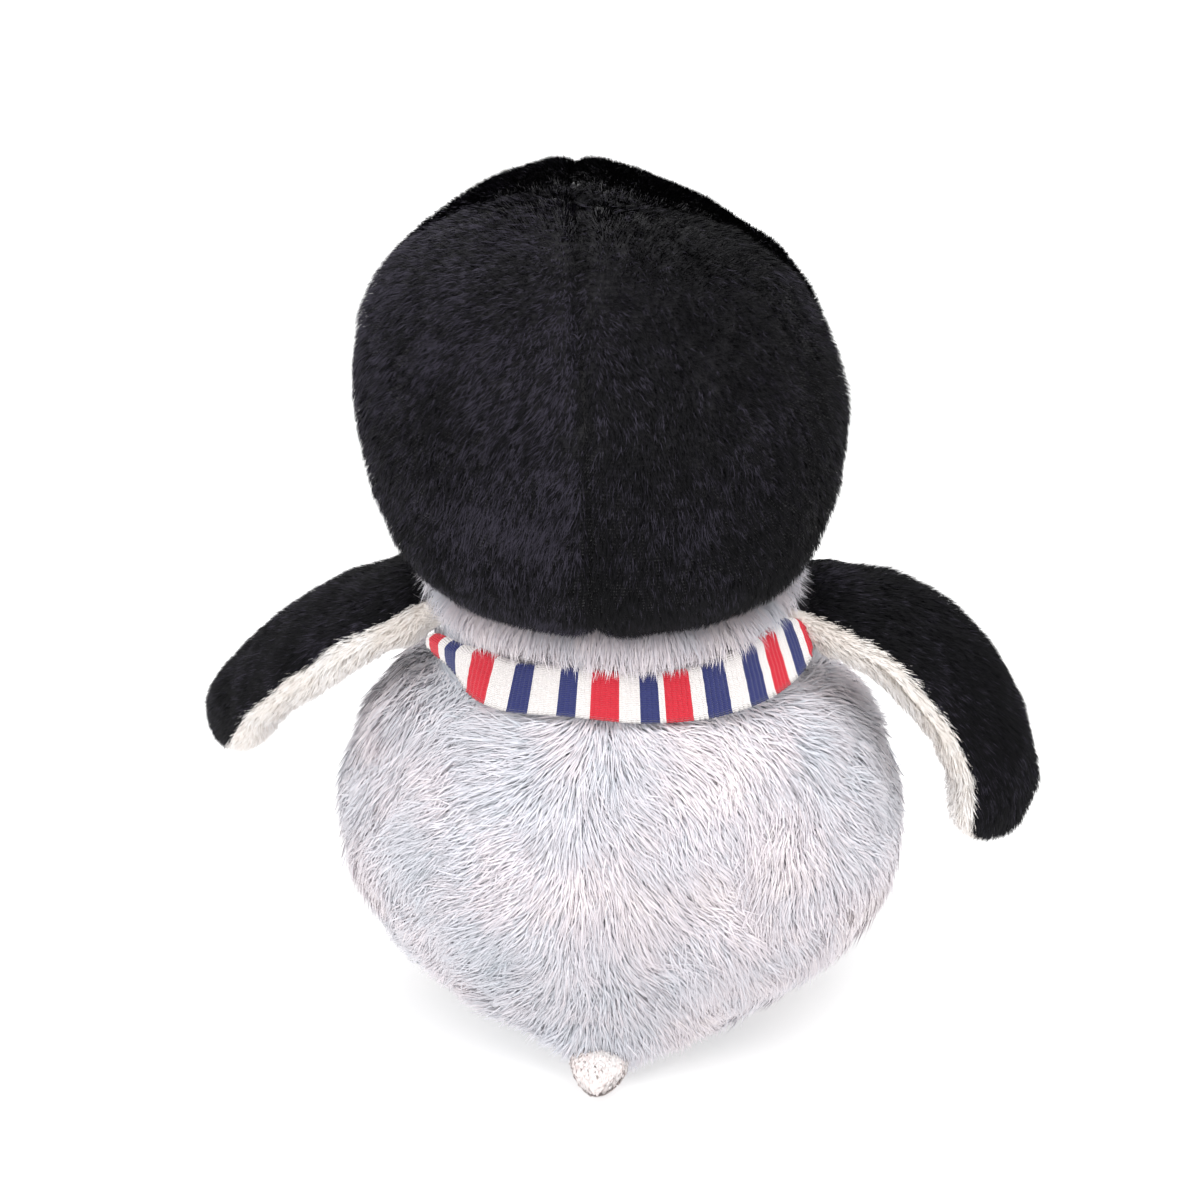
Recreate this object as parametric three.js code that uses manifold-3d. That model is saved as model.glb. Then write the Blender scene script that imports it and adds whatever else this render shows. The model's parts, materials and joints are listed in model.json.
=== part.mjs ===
// A sitting plush penguin, 271 mm tall: long-pile grey body, short-pile black head,
// two padded flippers, two feet, a small tail and a striped knitted scarf.
// Millimetres, +Z up. The penguin faces -Y and sits on z = 0; its own left side is +X.
// Every sewn cover is a thin shell around a separate stuffing, cut into its panels.

import * as THREE from 'three';
import { mergeVertices } from 'three/addons/utils/BufferGeometryUtils.js';
import Module from 'manifold-3d';

// ---------------------------------------------------------------- driving dimensions

const SKIN = 1.5;            // thickness of a fabric cover
const GAP = 0.3;             // air left between pieces that touch
const INNER = SKIN + GAP;    // from a cover's outside to its stuffing
const BEAK_SKIN = 1.05;      // the beak's finer cloth

const BODY_DEPTH = 0.84;     // body depth over body width
const BODY_PROFILE = [       // radius and height from the base to the neck
  [39, 0], [46, 5.5], [55.5, 12.5], [67.5, 23], [76.5, 36.5], [82, 51], [83, 66],
  [80, 82], [73, 98], [62.5, 111], [52.5, 122], [48.5, 132], [46, 139],
];
const BASE_RADIUS = 35;
const BELLY = { halfWidth: 47, halfHeight: 50, centreZ: 66 };
const PELLET_BAG = { radius: 36, bottom: 2.6, height: 20, corner: 8 };

const NECK = { x: 3, z: 146, ballRadius: 23, ballBottom: -5, stemRadius: 18, stemBottom: 118,
  runningGap: 0.5 };
const RUFF = { inner: 27.5, outer: 40, bottom: 139.4, height: 1.5, bulge: 0.8, depth: 0.92 };

const HEAD = { x: 5.5, z: 202, rx: 73, ry: 70, rz: 69, bottomCut: 146 };
const CROWN_SEAM = { y: 8, forwardAngle: THREE.MathUtils.degToRad(20) };
const FACE = { halfWidth: 50, halfHeight: 42, centreZ: 192, behind: -20 };

const EYE = { spread: 21, lift: 10, radius: 6.5, rim: 0.7, dome: 4.5, shankRadius: 1.7, shankLength: 9,
  room: 12 };
const WASHER = { radius: 6, thickness: 1.2, hole: 2.0, depth: 4.3 };
const BEAK = { z: 193, y: -66, halfWidth: 13, length: 21, halfHeight: 8 };

const SHOULDER = { x: 48, z: 136.5, armhole: 8.8 };
const FIN = { rootLength: 7.5, length: 112, rootHalfWidth: 18, midHalfWidth: 23, tipHalfWidth: 13,
  rootHalfThickness: 6.9, tipHalfThickness: 5.2, tipRounding: 16, fullest: 1.35 };
const FIN_SEAM = { overhang: 10, width: 80, height: 20, steps: 20 };   // slab that parts the two covers
// droop at the root, curl along the length and twist at the tip in degrees, forward sweep in mm
const LEFT_FIN = { side: 1, droop: 22, curl: 45, sweep: 40, twist: 20 };
const RIGHT_FIN = { side: -1, droop: 8, curl: 87, sweep: 0, twist: 45 };

const FOOT = { x: 31, y: -67, z: 7.4, halfWidth: 20, halfLength: 27, halfHeight: 7.4 };
const TAIL = { x: -3, y: 61, z: 13, halfWidth: 14, halfLength: 16, halfHeight: 6.5, rootGap: 2.6 };

const SCARF = { centreZ: 119.5, height: 13, thickness: 5, rise: 0.167, offBody: 0.8,
  underArm: 19, armDepth: 60 };
const KNOT = { halfWidth: 14, halfDepth: 9, halfHeight: 10, y: -60, z: 111 };
const SCARF_END = { width: 28, thickness: 3.6, length: 50, top: 99.6, x: 17, y: -69.5, lean: 6, splay: 5 };

// facets round each turned shape, and from pole to pole of each ball
const FACETS = { turned: 28, rod: 24, oval: 28, eye: 14, head: [26, 16], neck: [24, 14], beak: [16, 8],
  pad: [16, 8], knot: [14, 8], fin: [12, 14] };

// ---------------------------------------------------------------- materials

const black = fabric(0x15131a, 0.95);
const grey = fabric(0xd3d3da, 0.95);
const cream = fabric(0xf3ece4, 0.95);
const orange = fabric(0xe8a04a, 0.9);
const knit = fabric(0xe8d8dc, 0.9);
const fibre = fabric(0xfafafa, 1.0);
const pelletCloth = fabric(0xe6e2d8, 0.9);
const eyePlastic = new THREE.MeshStandardMaterial({ color: 0x0a0a0c, roughness: 0.12, metalness: 0 });
const washerPlastic = new THREE.MeshStandardMaterial({ color: 0xf4f4f0, roughness: 0.5, metalness: 0 });

function fabric(color, roughness) {
  return new THREE.MeshStandardMaterial({ color, roughness, metalness: 0 });
}

// ---------------------------------------------------------------- solids from geometries

const wasm = await Module();
wasm.setup();

// A closed three.js geometry as a solid that can be joined and cut.
function solid(geometry) {
  const bare = geometry.clone();
  bare.deleteAttribute('normal');
  bare.deleteAttribute('uv');
  const welded = mergeVertices(bare, 1e-4);
  return new wasm.Manifold(new wasm.Mesh({
    numProp: 3,
    vertProperties: new Float32Array(welded.attributes.position.array),
    triVerts: new Uint32Array(welded.index.array),
  }));
}

const group = new THREE.Group();
group.name = 'plush_penguin';

// Adds a finished piece to the toy, as a named mesh.
function add(name, material, shape) {
  const mesh = shape.getMesh();
  const geometry = new THREE.BufferGeometry();
  geometry.setAttribute('position', new THREE.BufferAttribute(new Float32Array(mesh.vertProperties), 3));
  geometry.setIndex(new THREE.BufferAttribute(new Uint32Array(mesh.triVerts), 1));
  geometry.computeVertexNormals();
  const piece = new THREE.Mesh(geometry, material);
  piece.name = name;
  group.add(piece);
}

const FAR = 900;   // edge of the blocks that stand for half of space

// All of space on the side of a plane that its normal points to.
function halfSpace(point, normal) {
  const block = new THREE.BoxGeometry(FAR, FAR, FAR);
  block.translate(0, 0, FAR / 2);
  const turn = new THREE.Quaternion().setFromUnitVectors(
    new THREE.Vector3(0, 0, 1), new THREE.Vector3(...normal).normalize());
  block.applyQuaternion(turn);
  block.translate(...point);
  return solid(block);
}

// A cylinder along a row axis, given by its centre, radius and length.
function rod(axis, centre, radius, length, sides = FACETS.rod) {
  const shape = new THREE.CylinderGeometry(radius, radius, length, sides);
  if (axis === 'x') shape.rotateZ(Math.PI / 2);
  if (axis === 'z') shape.rotateX(Math.PI / 2);
  shape.translate(...centre);
  return solid(shape);
}

// An ellipsoid, given by its centre and half sizes, poles up and down.
function ellipsoid(centre, half, [around, down]) {
  const shape = new THREE.SphereGeometry(1, around, down);
  shape.rotateX(Math.PI / 2);
  shape.scale(...half);
  shape.translate(...centre);
  return solid(shape);
}

// A turned shape about the vertical through (x, 0), from a closed profile of [radius, height].
function turned(profile, x = 0, depth = 1, sides = FACETS.turned) {
  const shape = new THREE.LatheGeometry(profile.map(([r, z]) => new THREE.Vector2(r, z)), sides);
  shape.rotateX(Math.PI / 2);
  shape.scale(1, depth, 1);
  shape.translate(x, 0, 0);
  return solid(shape);
}

// ---------------------------------------------------------------- body

// The body's outline moved outwards by a distance, or inwards by a negative one.
function bodyProfile(offset) {
  const curve = new THREE.SplineCurve(BODY_PROFILE.map(([r, z]) => new THREE.Vector2(r, z)));
  const steps = 12;
  const side = [];
  for (let i = 0; i <= steps; i += 1) {
    const t = i / steps;
    const at = curve.getPoint(t);
    const along = curve.getTangent(t);
    side.push([at.x + along.y * offset, at.y - along.x * offset]);
  }
  const bottom = -offset;
  const top = BODY_PROFILE.at(-1)[1] + offset;
  side[0][1] = bottom;
  side[steps][1] = top;
  return [[0, bottom], ...side, [0, top]];
}

const bodySolid = (offset) => turned(bodyProfile(offset), 0, BODY_DEPTH);
const bodyOuter = bodySolid(0);

// Room in the body for everything that is sewn on and moves, and for the neck plug.
const shoulderLength = 2 * (FIN.rootHalfWidth + 1.5);
const armholes = [1, -1].map((side) => rod('y', [side * SHOULDER.x, 0, SHOULDER.z],
  SHOULDER.armhole, shoulderLength));
const neckOpening = rod('z', [NECK.x, 0, NECK.stemBottom + 50], NECK.stemRadius + NECK.runningGap, 100);
const bodyCuts = armholes[0].add(armholes[1]).add(neckOpening);

function addBody() {
  const shell = bodyOuter.subtract(bodySolid(-SKIN)).subtract(bodyCuts);
  const base = turned([[0, 0], [BASE_RADIUS, 0], [BASE_RADIUS, SKIN], [0, SKIN]], 0, BODY_DEPTH);
  add('base_panel', cream, base);

  const baseHole = turned([[0, -1], [BASE_RADIUS + GAP, -1], [BASE_RADIUS + GAP, 3], [0, 3]], 0, BODY_DEPTH);
  const walls = shell.subtract(baseHole);
  const front = halfSpace([0, 0, 0], [0, -1, 0]);
  const oval = (grow) => ovalAlongY(0, BELLY.centreZ, BELLY.halfWidth + grow, BELLY.halfHeight + grow);
  add('belly_panel', cream, walls.intersect(oval(0)).intersect(front));

  const sides = walls.subtract(oval(GAP).intersect(front));
  add('back_panel_left', grey, sides.intersect(halfSpace([GAP / 2, 0, 0], [1, 0, 0])));
  add('back_panel_right', grey, sides.intersect(halfSpace([-GAP / 2, 0, 0], [-1, 0, 0])));

  const bagTop = PELLET_BAG.bottom + PELLET_BAG.height;
  const { radius, bottom, corner } = PELLET_BAG;
  const bag = (grow) => turned([
    [0, bottom - grow], [radius + grow - corner, bottom - grow], [radius + grow, bottom + corner],
    [radius + grow - corner, bagTop + grow], [0, bagTop + grow]], 0, BODY_DEPTH);
  add('pellet_bag', pelletCloth, bag(0));
  const bagOpening = rod('z', [0, 0, 0], (radius - corner) * BODY_DEPTH, 2 * bottom + corner);
  const bagRoom = bag(GAP).add(bagOpening);
  add('body_filling', fibre, bodySolid(-INNER).subtract(bodyCuts).subtract(bagRoom));
}

// An oval cylinder that runs front to back through the whole toy.
function ovalAlongY(x, z, halfWidth, halfHeight) {
  const shape = new THREE.CylinderGeometry(1, 1, FAR, FACETS.oval);
  shape.scale(halfWidth, 1, halfHeight);
  shape.translate(x, 0, z);
  return solid(shape);
}

// ---------------------------------------------------------------- neck

// The plug turns in the body's opening and its ball lets the head nod.
function addNeck() {
  const steps = 9;
  const start = Math.asin(-NECK.ballBottom / NECK.ballRadius);
  const ball = [];
  for (let i = 0; i <= steps; i += 1) {
    const angle = -start + (Math.PI / 2 + start) * (i / steps);
    ball.push([NECK.ballRadius * Math.cos(angle), NECK.z + NECK.ballRadius * Math.sin(angle)]);
  }
  ball[steps][0] = 0;
  const foot = NECK.stemBottom + GAP;
  const profile = [[0, foot], [NECK.stemRadius, foot], [NECK.stemRadius, ball[0][1]], ...ball];
  add('neck_filling', fibre, turned(profile, NECK.x));

  const top = RUFF.bottom + RUFF.height;
  const waist = (RUFF.bottom + top) / 2;
  const ring = [[RUFF.inner, RUFF.bottom], [RUFF.outer, RUFF.bottom], [RUFF.outer + RUFF.bulge, waist],
    [RUFF.outer, top], [RUFF.inner, top], [RUFF.inner, RUFF.bottom]];
  add('neck_ruff', grey, turned(ring, 0, RUFF.depth));
}

// ---------------------------------------------------------------- head

function headBall(offset) {
  return ellipsoid([HEAD.x, 0, HEAD.z],
    [HEAD.rx + offset, HEAD.ry + offset, HEAD.rz + offset], FACETS.head);
}

const aboveNeck = (lift) => halfSpace([0, 0, HEAD.bottomCut + lift], [0, 0, 1]);

// Where an eye sits: its point on the face and the direction that it looks in.
function eyeSeat(side) {
  const turn = THREE.MathUtils.degToRad(EYE.spread) * side;
  const lift = THREE.MathUtils.degToRad(EYE.lift);
  const out = new THREE.Vector3(
    Math.sin(turn) * Math.cos(lift), -Math.cos(turn) * Math.cos(lift), Math.sin(lift));
  const stretch = 1 / Math.hypot(out.x / HEAD.rx, out.y / HEAD.ry, out.z / HEAD.rz);
  const point = out.clone().multiplyScalar(stretch).add(new THREE.Vector3(HEAD.x, 0, HEAD.z));
  return { point, out };
}

// A turned shape whose height runs along the eye's direction from the face's surface.
function turnedOnFace(profile, seat) {
  const shape = new THREE.LatheGeometry(profile.map(([r, h]) => new THREE.Vector2(r, h)), FACETS.eye);
  shape.applyQuaternion(new THREE.Quaternion().setFromUnitVectors(new THREE.Vector3(0, 1, 0), seat.out));
  shape.translate(seat.point.x, seat.point.y, seat.point.z);
  return solid(shape);
}

function eyeDome() {
  const steps = 6;
  const dome = [];
  for (let i = 0; i <= steps; i += 1) {
    const angle = (Math.PI / 2) * (i / steps);
    dome.push([EYE.radius * Math.cos(angle), EYE.rim + EYE.dome * Math.sin(angle)]);
  }
  dome[steps][0] = 0;
  return [[0, -EYE.shankLength], [EYE.shankRadius, -EYE.shankLength], [EYE.shankRadius, EYE.rim], ...dome];
}

// The beak is two padded halves that meet on a level seam, and stands clear of the face.
function addBeak(headClear) {
  const shape = (offset) => ellipsoid([HEAD.x, BEAK.y, BEAK.z],
    [BEAK.halfWidth + offset, BEAK.length + offset, BEAK.halfHeight + offset], FACETS.beak);
  const shell = shape(0).subtract(shape(-BEAK_SKIN)).subtract(headClear);
  add('beak_upper', orange, shell.intersect(halfSpace([0, 0, BEAK.z + GAP / 2], [0, 0, 1])));
  add('beak_lower', orange, shell.intersect(halfSpace([0, 0, BEAK.z - GAP / 2], [0, 0, -1])));
  add('beak_filling', fibre, shape(-BEAK_SKIN - GAP).subtract(headClear));
}

function addHead() {
  const sides = { left: 1, right: -1 };
  const seats = { left: eyeSeat(1), right: eyeSeat(-1) };
  let shankHoles = null;
  let eyeRoom = null;
  for (const [name, seat] of Object.entries(seats)) {
    add(`eye_${name}`, eyePlastic, turnedOnFace(eyeDome(), seat));
    const under = -WASHER.depth;
    add(`eye_washer_${name}`, washerPlastic, turnedOnFace([
      [WASHER.hole, under], [WASHER.radius, under], [WASHER.radius, under + WASHER.thickness],
      [WASHER.hole, under + WASHER.thickness], [WASHER.hole, under]], seat));
    const bore = (radius) => turnedOnFace(
      [[0, -EYE.room], [radius, -EYE.room], [radius, EYE.dome], [0, EYE.dome]], seat);
    const hole = bore(WASHER.hole);
    const room = bore(WASHER.radius + NECK.runningGap);
    shankHoles = shankHoles ? shankHoles.add(hole) : hole;
    eyeRoom = eyeRoom ? eyeRoom.add(room) : room;
  }

  const shell = headBall(0).subtract(headBall(-SKIN)).intersect(aboveNeck(0)).subtract(shankHoles);
  const front = halfSpace([0, FACE.behind, 0], [0, -1, 0]);
  const mask = (grow) => ovalAlongY(HEAD.x, FACE.centreZ, FACE.halfWidth + grow, FACE.halfHeight + grow);
  add('face_panel', cream, shell.intersect(mask(0)).intersect(front));

  const hood = shell.subtract(mask(GAP).intersect(front));
  const slope = Math.tan(CROWN_SEAM.forwardAngle);
  for (const [name, side] of Object.entries(sides)) {
    const half = hood.intersect(halfSpace([HEAD.x + side * GAP / 2, 0, 0], [side, 0, 0]));
    const behind = halfSpace([HEAD.x, CROWN_SEAM.y + GAP / 2, 0], [side * slope, 1, 0]);
    const ahead = halfSpace([HEAD.x, CROWN_SEAM.y - GAP / 2, 0], [-side * slope, -1, 0]);
    add(`head_back_${name}`, black, half.intersect(behind));
    add(`head_front_${name}`, black, half.intersect(ahead));
  }

  const socket = ellipsoid([NECK.x, 0, NECK.z], Array(3).fill(NECK.ballRadius + NECK.runningGap), FACETS.neck);
  add('head_filling', fibre,
    headBall(-INNER).intersect(aboveNeck(GAP)).subtract(socket).subtract(eyeRoom));
  addBeak(headBall(GAP));
}

// ---------------------------------------------------------------- flippers

// A point of a flipper that is bent along its length.
// u runs from the root's end to the tip, across is front to back, through is the thickness.
function finPoint(fin, u, across, through) {
  const s = u - FIN.rootLength;
  const bend = THREE.MathUtils.degToRad(fin.curl) / FIN.length;
  const start = THREE.MathUtils.degToRad(fin.droop);
  const heading = start + bend * Math.max(s, 0);
  let x = (Math.sin(heading) - Math.sin(start)) / bend;
  let z = (Math.cos(heading) - Math.cos(start)) / bend;
  if (s < 0) {
    x = s * Math.cos(start);
    z = -s * Math.sin(start);
  }
  const along = Math.max(s, 0) / FIN.length;
  const twist = THREE.MathUtils.degToRad(fin.twist) * along;
  const outwards = through * Math.cos(twist) - across * Math.sin(twist);
  const backwards = across * Math.cos(twist) + through * Math.sin(twist) - fin.sweep * along ** 2;
  return new THREE.Vector3(
    fin.side * (SHOULDER.x + x + outwards * Math.sin(heading)),
    backwards,
    SHOULDER.z + z + outwards * Math.cos(heading));
}

// Half width and half thickness of a flipper at u, both rounded off at the ends.
function finSection(u, inset) {
  const whole = FIN.rootLength + FIN.length;
  const t = THREE.MathUtils.clamp((u - FIN.rootLength) / FIN.length, 0, 1);
  const swell = Math.sin(Math.PI * Math.min(t * FIN.fullest, 1)) * (FIN.midHalfWidth - FIN.rootHalfWidth);
  const width = THREE.MathUtils.lerp(FIN.rootHalfWidth, FIN.tipHalfWidth, t ** 2) + swell;
  const thickness = THREE.MathUtils.lerp(FIN.rootHalfThickness, FIN.tipHalfThickness, t);
  const fromRoot = THREE.MathUtils.clamp((u - inset) / FIN.rootLength, 0, 1);
  const fromTip = THREE.MathUtils.clamp((whole - inset - u) / FIN.tipRounding, 0, 1);
  const round = Math.sqrt(1 - (1 - fromRoot) ** 2) * Math.sqrt(1 - (1 - fromTip) ** 2);
  return { width: Math.max(width - inset, 0) * round, thickness: Math.max(thickness - inset, 0) * round };
}

// The whole padded flipper, drawn in from its surface by inset.
function finSolid(fin, inset) {
  const shape = new THREE.SphereGeometry(1, ...FACETS.fin);
  const at = shape.attributes.position;
  const whole = FIN.rootLength + FIN.length - 2 * inset;
  for (let i = 0; i < at.count; i += 1) {
    const u = inset + whole * (1 - at.getY(i)) / 2;
    const ring = Math.hypot(at.getX(i), at.getZ(i));
    const section = ring > 1e-6 ? finSection(u, inset) : { width: 0, thickness: 0 };
    const turn = Math.atan2(at.getX(i), at.getZ(i));
    const point = finPoint(fin, u, section.width * Math.sin(turn), section.thickness * Math.cos(turn));
    at.setXYZ(i, point.x, point.y, point.z);
  }
  return finOutwards(shape, fin.side);
}

// A bent slab that holds everything above (up = 1) or below (up = -1) the flipper's seam.
function finHalf(fin, up) {
  const { overhang, width, height, steps } = FIN_SEAM;
  const length = FIN.rootLength + FIN.length + 2 * overhang;
  const shape = new THREE.BoxGeometry(length, width, height, steps, 1, 1);
  shape.translate(length / 2 - overhang, 0, (height + GAP) / 2);
  const at = shape.attributes.position;
  for (let i = 0; i < at.count; i += 1) {
    const point = finPoint(fin, at.getX(i), at.getY(i), at.getZ(i) * up);
    at.setXYZ(i, point.x, point.y, point.z);
  }
  return finOutwards(shape, fin.side * up);
}

// Turns a mapped geometry's faces round if the mapping mirrored them.
function finOutwards(shape, handed) {
  if (handed > 0) return solid(shape);
  const index = shape.index.array;
  for (let i = 0; i < index.length; i += 3) {
    [index[i], index[i + 1]] = [index[i + 1], index[i]];
  }
  return solid(shape);
}

function addFlipper(name, fin) {
  const shell = finSolid(fin, 0).subtract(finSolid(fin, SKIN));
  add(`${name}_flipper_outer`, black, shell.intersect(finHalf(fin, 1)));
  add(`${name}_flipper_inner`, cream, shell.intersect(finHalf(fin, -1)));
  add(`${name}_flipper_filling`, fibre, finSolid(fin, INNER));
}

// ---------------------------------------------------------------- feet and tail

// A padded piece made of an upper and a lower cover around its stuffing, cut back by keepOff.
function addPad(names, materials, centre, half, keepOff) {
  const shape = (inset) => ellipsoid(centre, half.map((h) => h - inset), FACETS.pad);
  const cover = shape(0).subtract(shape(SKIN)).subtract(keepOff);
  add(names[0], materials[0], cover.intersect(halfSpace([0, 0, centre[2] + GAP / 2], [0, 0, 1])));
  add(names[1], materials[1], cover.intersect(halfSpace([0, 0, centre[2] - GAP / 2], [0, 0, -1])));
  add(names[2], fibre, shape(INNER).subtract(keepOff));
}

function addFeet() {
  const keepOff = bodySolid(1.5);
  for (const [name, side] of [['left', 1], ['right', -1]]) {
    addPad([`${name}_foot_upper`, `${name}_foot_sole`, `${name}_foot_filling`], [orange, orange],
      [side * FOOT.x, FOOT.y, FOOT.z], [FOOT.halfWidth, FOOT.halfLength, FOOT.halfHeight], keepOff);
  }
}

function addTail() {
  addPad(['tail_upper', 'tail_under', 'tail_filling'], [grey, cream],
    [TAIL.x, TAIL.y, TAIL.z], [TAIL.halfWidth, TAIL.halfLength, TAIL.halfHeight], bodySolid(TAIL.rootGap));
}

// ---------------------------------------------------------------- scarf

function addScarf() {
  const up = [0, -SCARF.rise, 1];
  const band = bodySolid(SCARF.offBody + SCARF.thickness).subtract(bodySolid(SCARF.offBody))
    .intersect(halfSpace([0, 0, SCARF.centreZ - SCARF.height / 2], up))
    .intersect(halfSpace([0, 0, SCARF.centreZ + SCARF.height / 2], up.map((c) => -c)));
  const arms = [1, -1].map((side) => rod('y', [side * SHOULDER.x, 0, SHOULDER.z],
    SCARF.underArm, SCARF.armDepth));
  add('scarf_band', knit, band.subtract(arms[0]).subtract(arms[1]));

  const clearOfBand = bodySolid(SCARF.offBody + SCARF.thickness + GAP);
  add('scarf_knot', knit, ellipsoid([0, KNOT.y, KNOT.z],
    [KNOT.halfWidth, KNOT.halfDepth, KNOT.halfHeight], FACETS.knot).subtract(clearOfBand));

  for (const [name, side] of [['left', 1], ['right', -1]]) {
    add(`scarf_end_${name}`, knit, scarfEnd(side));
  }
}

// A flat strip that hangs from the knot over the belly, a little splayed.
function scarfEnd(side) {
  const { width, thickness, length } = SCARF_END;
  const corner = thickness / 2 - 0.1;
  const outline = new THREE.Shape();
  outline.absarc(width / 2 - corner, 0, corner, -Math.PI / 2, Math.PI / 2);
  outline.absarc(-width / 2 + corner, 0, corner, Math.PI / 2, 3 * Math.PI / 2);
  const strip = new THREE.ExtrudeGeometry(outline, { depth: length, bevelEnabled: false, curveSegments: 4 });
  strip.translate(0, 0, -length);
  strip.rotateX(THREE.MathUtils.degToRad(-SCARF_END.lean));
  strip.rotateY(THREE.MathUtils.degToRad(-SCARF_END.splay * side));
  strip.translate(side * SCARF_END.x, SCARF_END.y, SCARF_END.top);
  return solid(strip);
}

// ---------------------------------------------------------------- the toy

addBody();
addNeck();
addHead();
addFlipper('left', LEFT_FIN);
addFlipper('right', RIGHT_FIN);
addFeet();
addTail();
addScarf();

export default group;
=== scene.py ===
"""A sitting plush penguin with a striped knitted scarf, built around its packed frame.

Each cover is a surface worked out on a grid, swelled by its stuffing, and cut into the
panels that it is sewn from. The pile is a ribbon for each tuft of fibre, combed along a nap.
The penguin faces -Y and its own left side is +X. The arrays are in millimetres.
"""

import json
import math

import bpy
import numpy as np
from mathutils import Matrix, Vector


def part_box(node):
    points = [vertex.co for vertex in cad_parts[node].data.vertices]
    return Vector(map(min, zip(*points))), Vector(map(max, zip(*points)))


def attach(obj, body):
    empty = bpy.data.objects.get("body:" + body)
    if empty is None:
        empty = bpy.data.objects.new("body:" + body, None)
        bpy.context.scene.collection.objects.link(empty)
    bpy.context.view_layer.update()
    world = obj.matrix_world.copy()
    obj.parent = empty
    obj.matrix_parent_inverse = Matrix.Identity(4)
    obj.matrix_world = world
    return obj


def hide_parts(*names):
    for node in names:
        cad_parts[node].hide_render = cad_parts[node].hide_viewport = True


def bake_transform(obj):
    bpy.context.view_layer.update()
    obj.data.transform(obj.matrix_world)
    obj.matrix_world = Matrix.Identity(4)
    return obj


bl_info = {
    "name": "Plush Penguin",
    "version": (1, 0, 0),
    "blender": (4, 5, 0),
    "location": "View3D > Sidebar > Penguin",
    "description": "Builds a plush penguin with its pile, seams and knitted scarf",
    "category": "Add Mesh",
}

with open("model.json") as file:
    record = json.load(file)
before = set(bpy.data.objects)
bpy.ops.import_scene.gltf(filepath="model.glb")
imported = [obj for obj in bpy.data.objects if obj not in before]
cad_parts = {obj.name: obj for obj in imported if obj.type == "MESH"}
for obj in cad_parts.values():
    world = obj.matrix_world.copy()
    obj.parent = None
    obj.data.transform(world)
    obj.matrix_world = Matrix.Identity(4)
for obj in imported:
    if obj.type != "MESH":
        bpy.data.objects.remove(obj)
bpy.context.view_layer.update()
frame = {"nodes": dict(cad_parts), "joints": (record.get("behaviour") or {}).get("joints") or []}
MM = 0.001


# ---------------------------------------------------------------- places, from the frame


def corners_of(*nodes):
    """The lowest and highest corner of some frame nodes together, in millimetres."""
    boxes = [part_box(node) for node in nodes]
    lows = np.min([np.array(b[0]) for b in boxes], axis=0) / MM
    highs = np.max([np.array(b[1]) for b in boxes], axis=0) / MM
    return lows, highs


def middle(*nodes):
    """The centre and the half sizes of some nodes' box."""
    lows, highs = corners_of(*nodes)
    return (lows + highs) / 2, (highs - lows) / 2


def pivot(joint):
    """Where a joint turns, in millimetres."""
    found = [j for j in frame["joints"] if j["name"] == joint]
    return np.array(found[0]["pos_m"], float) / MM


HOOD = ("head_back_left", "head_back_right", "head_front_left", "head_front_right")
HEAD_MID, HEAD_HALF = middle(*HOOD)
HEAD_X = HEAD_MID[0]
HEAD_HEIGHT = 69.0
HEAD_Z = corners_of(*HOOD)[1][2] - HEAD_HEIGHT
HEAD_BOTTOM = corners_of(*HOOD)[0][2]
HEAD_RADII = np.array([HEAD_HALF[0], 70.0, HEAD_HEIGHT])
HEAD_CENTRE = np.array([HEAD_X, 0.0, HEAD_Z])
BODY_HALF = middle("back_panel_left", "back_panel_right", "belly_panel")[1]
BODY_DEPTH = BODY_HALF[1] / BODY_HALF[0]
BODY_SIDE = [
    (39, 0), (46, 5.5), (55.5, 12.5), (67.5, 23), (76.5, 36.5), (82, 51), (83, 66),
    (80, 82), (73, 98), (62.5, 111), (52.5, 122), (48.5, 132), (46, 139),
]
NECK = pivot("head_nod")
SHOULDER = pivot("left_flipper_flap")


# ---------------------------------------------------------------- arithmetic on arrays


def smooth(x, a, b):
    """0 up to a, 1 from b, and 3t^2 - 2t^3 between them."""
    t = np.clip((x - a) / (b - a), 0, 1)
    return t * t * (3 - 2 * t)


def unit(v):
    """Vectors divided by their lengths."""
    return v / np.maximum(np.linalg.norm(v, axis=-1, keepdims=True), 1e-12)


def mix(a, b, t):
    """The point a share t of the way from a to b."""
    return a + (b - a) * t


def dot(a, b):
    """The product of two sets of vectors, kept as a last axis of one."""
    return np.sum(a * b, axis=-1, keepdims=True)


def turned(v, axis, angle):
    """v turned about a unit axis at right angles to it: v cos a + (axis x v) sin a."""
    return v * np.cos(angle) + np.cross(axis, v) * np.sin(angle)


def lattice(cell, seed):
    """A number from 0 to 1 for each whole-number place, from its mixed-up indices."""
    cell = cell.astype(np.int64)
    h = (cell[..., 0] * 73856093) ^ (cell[..., 1] * 19349663) ^ (cell[..., 2] * 83492791)
    h = (h ^ (seed * 40503)) & 0x7FFFFFFF
    h = ((h ^ (h >> 13)) * 1274126177) & 0x7FFFFFFF
    h = ((h ^ (h >> 15)) * 668265263) & 0x7FFFFFFF
    return ((h ^ (h >> 16)) & 0xFFFF) / 65535.0


def noise(points, size, seed):
    """Smooth lumps from -1 to 1: each lattice cell blends the numbers of its eight corners."""
    p = points / size
    base = np.floor(p)
    f = p - base
    f = f * f * (3 - 2 * f)
    total = np.zeros(points.shape[:-1])
    for corner in np.ndindex(2, 2, 2):
        c = np.array(corner)
        weight = np.prod(np.where(c == 1, f, 1 - f), axis=-1)
        total += weight * lattice(base + c, seed)
    return total * 2 - 1


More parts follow.
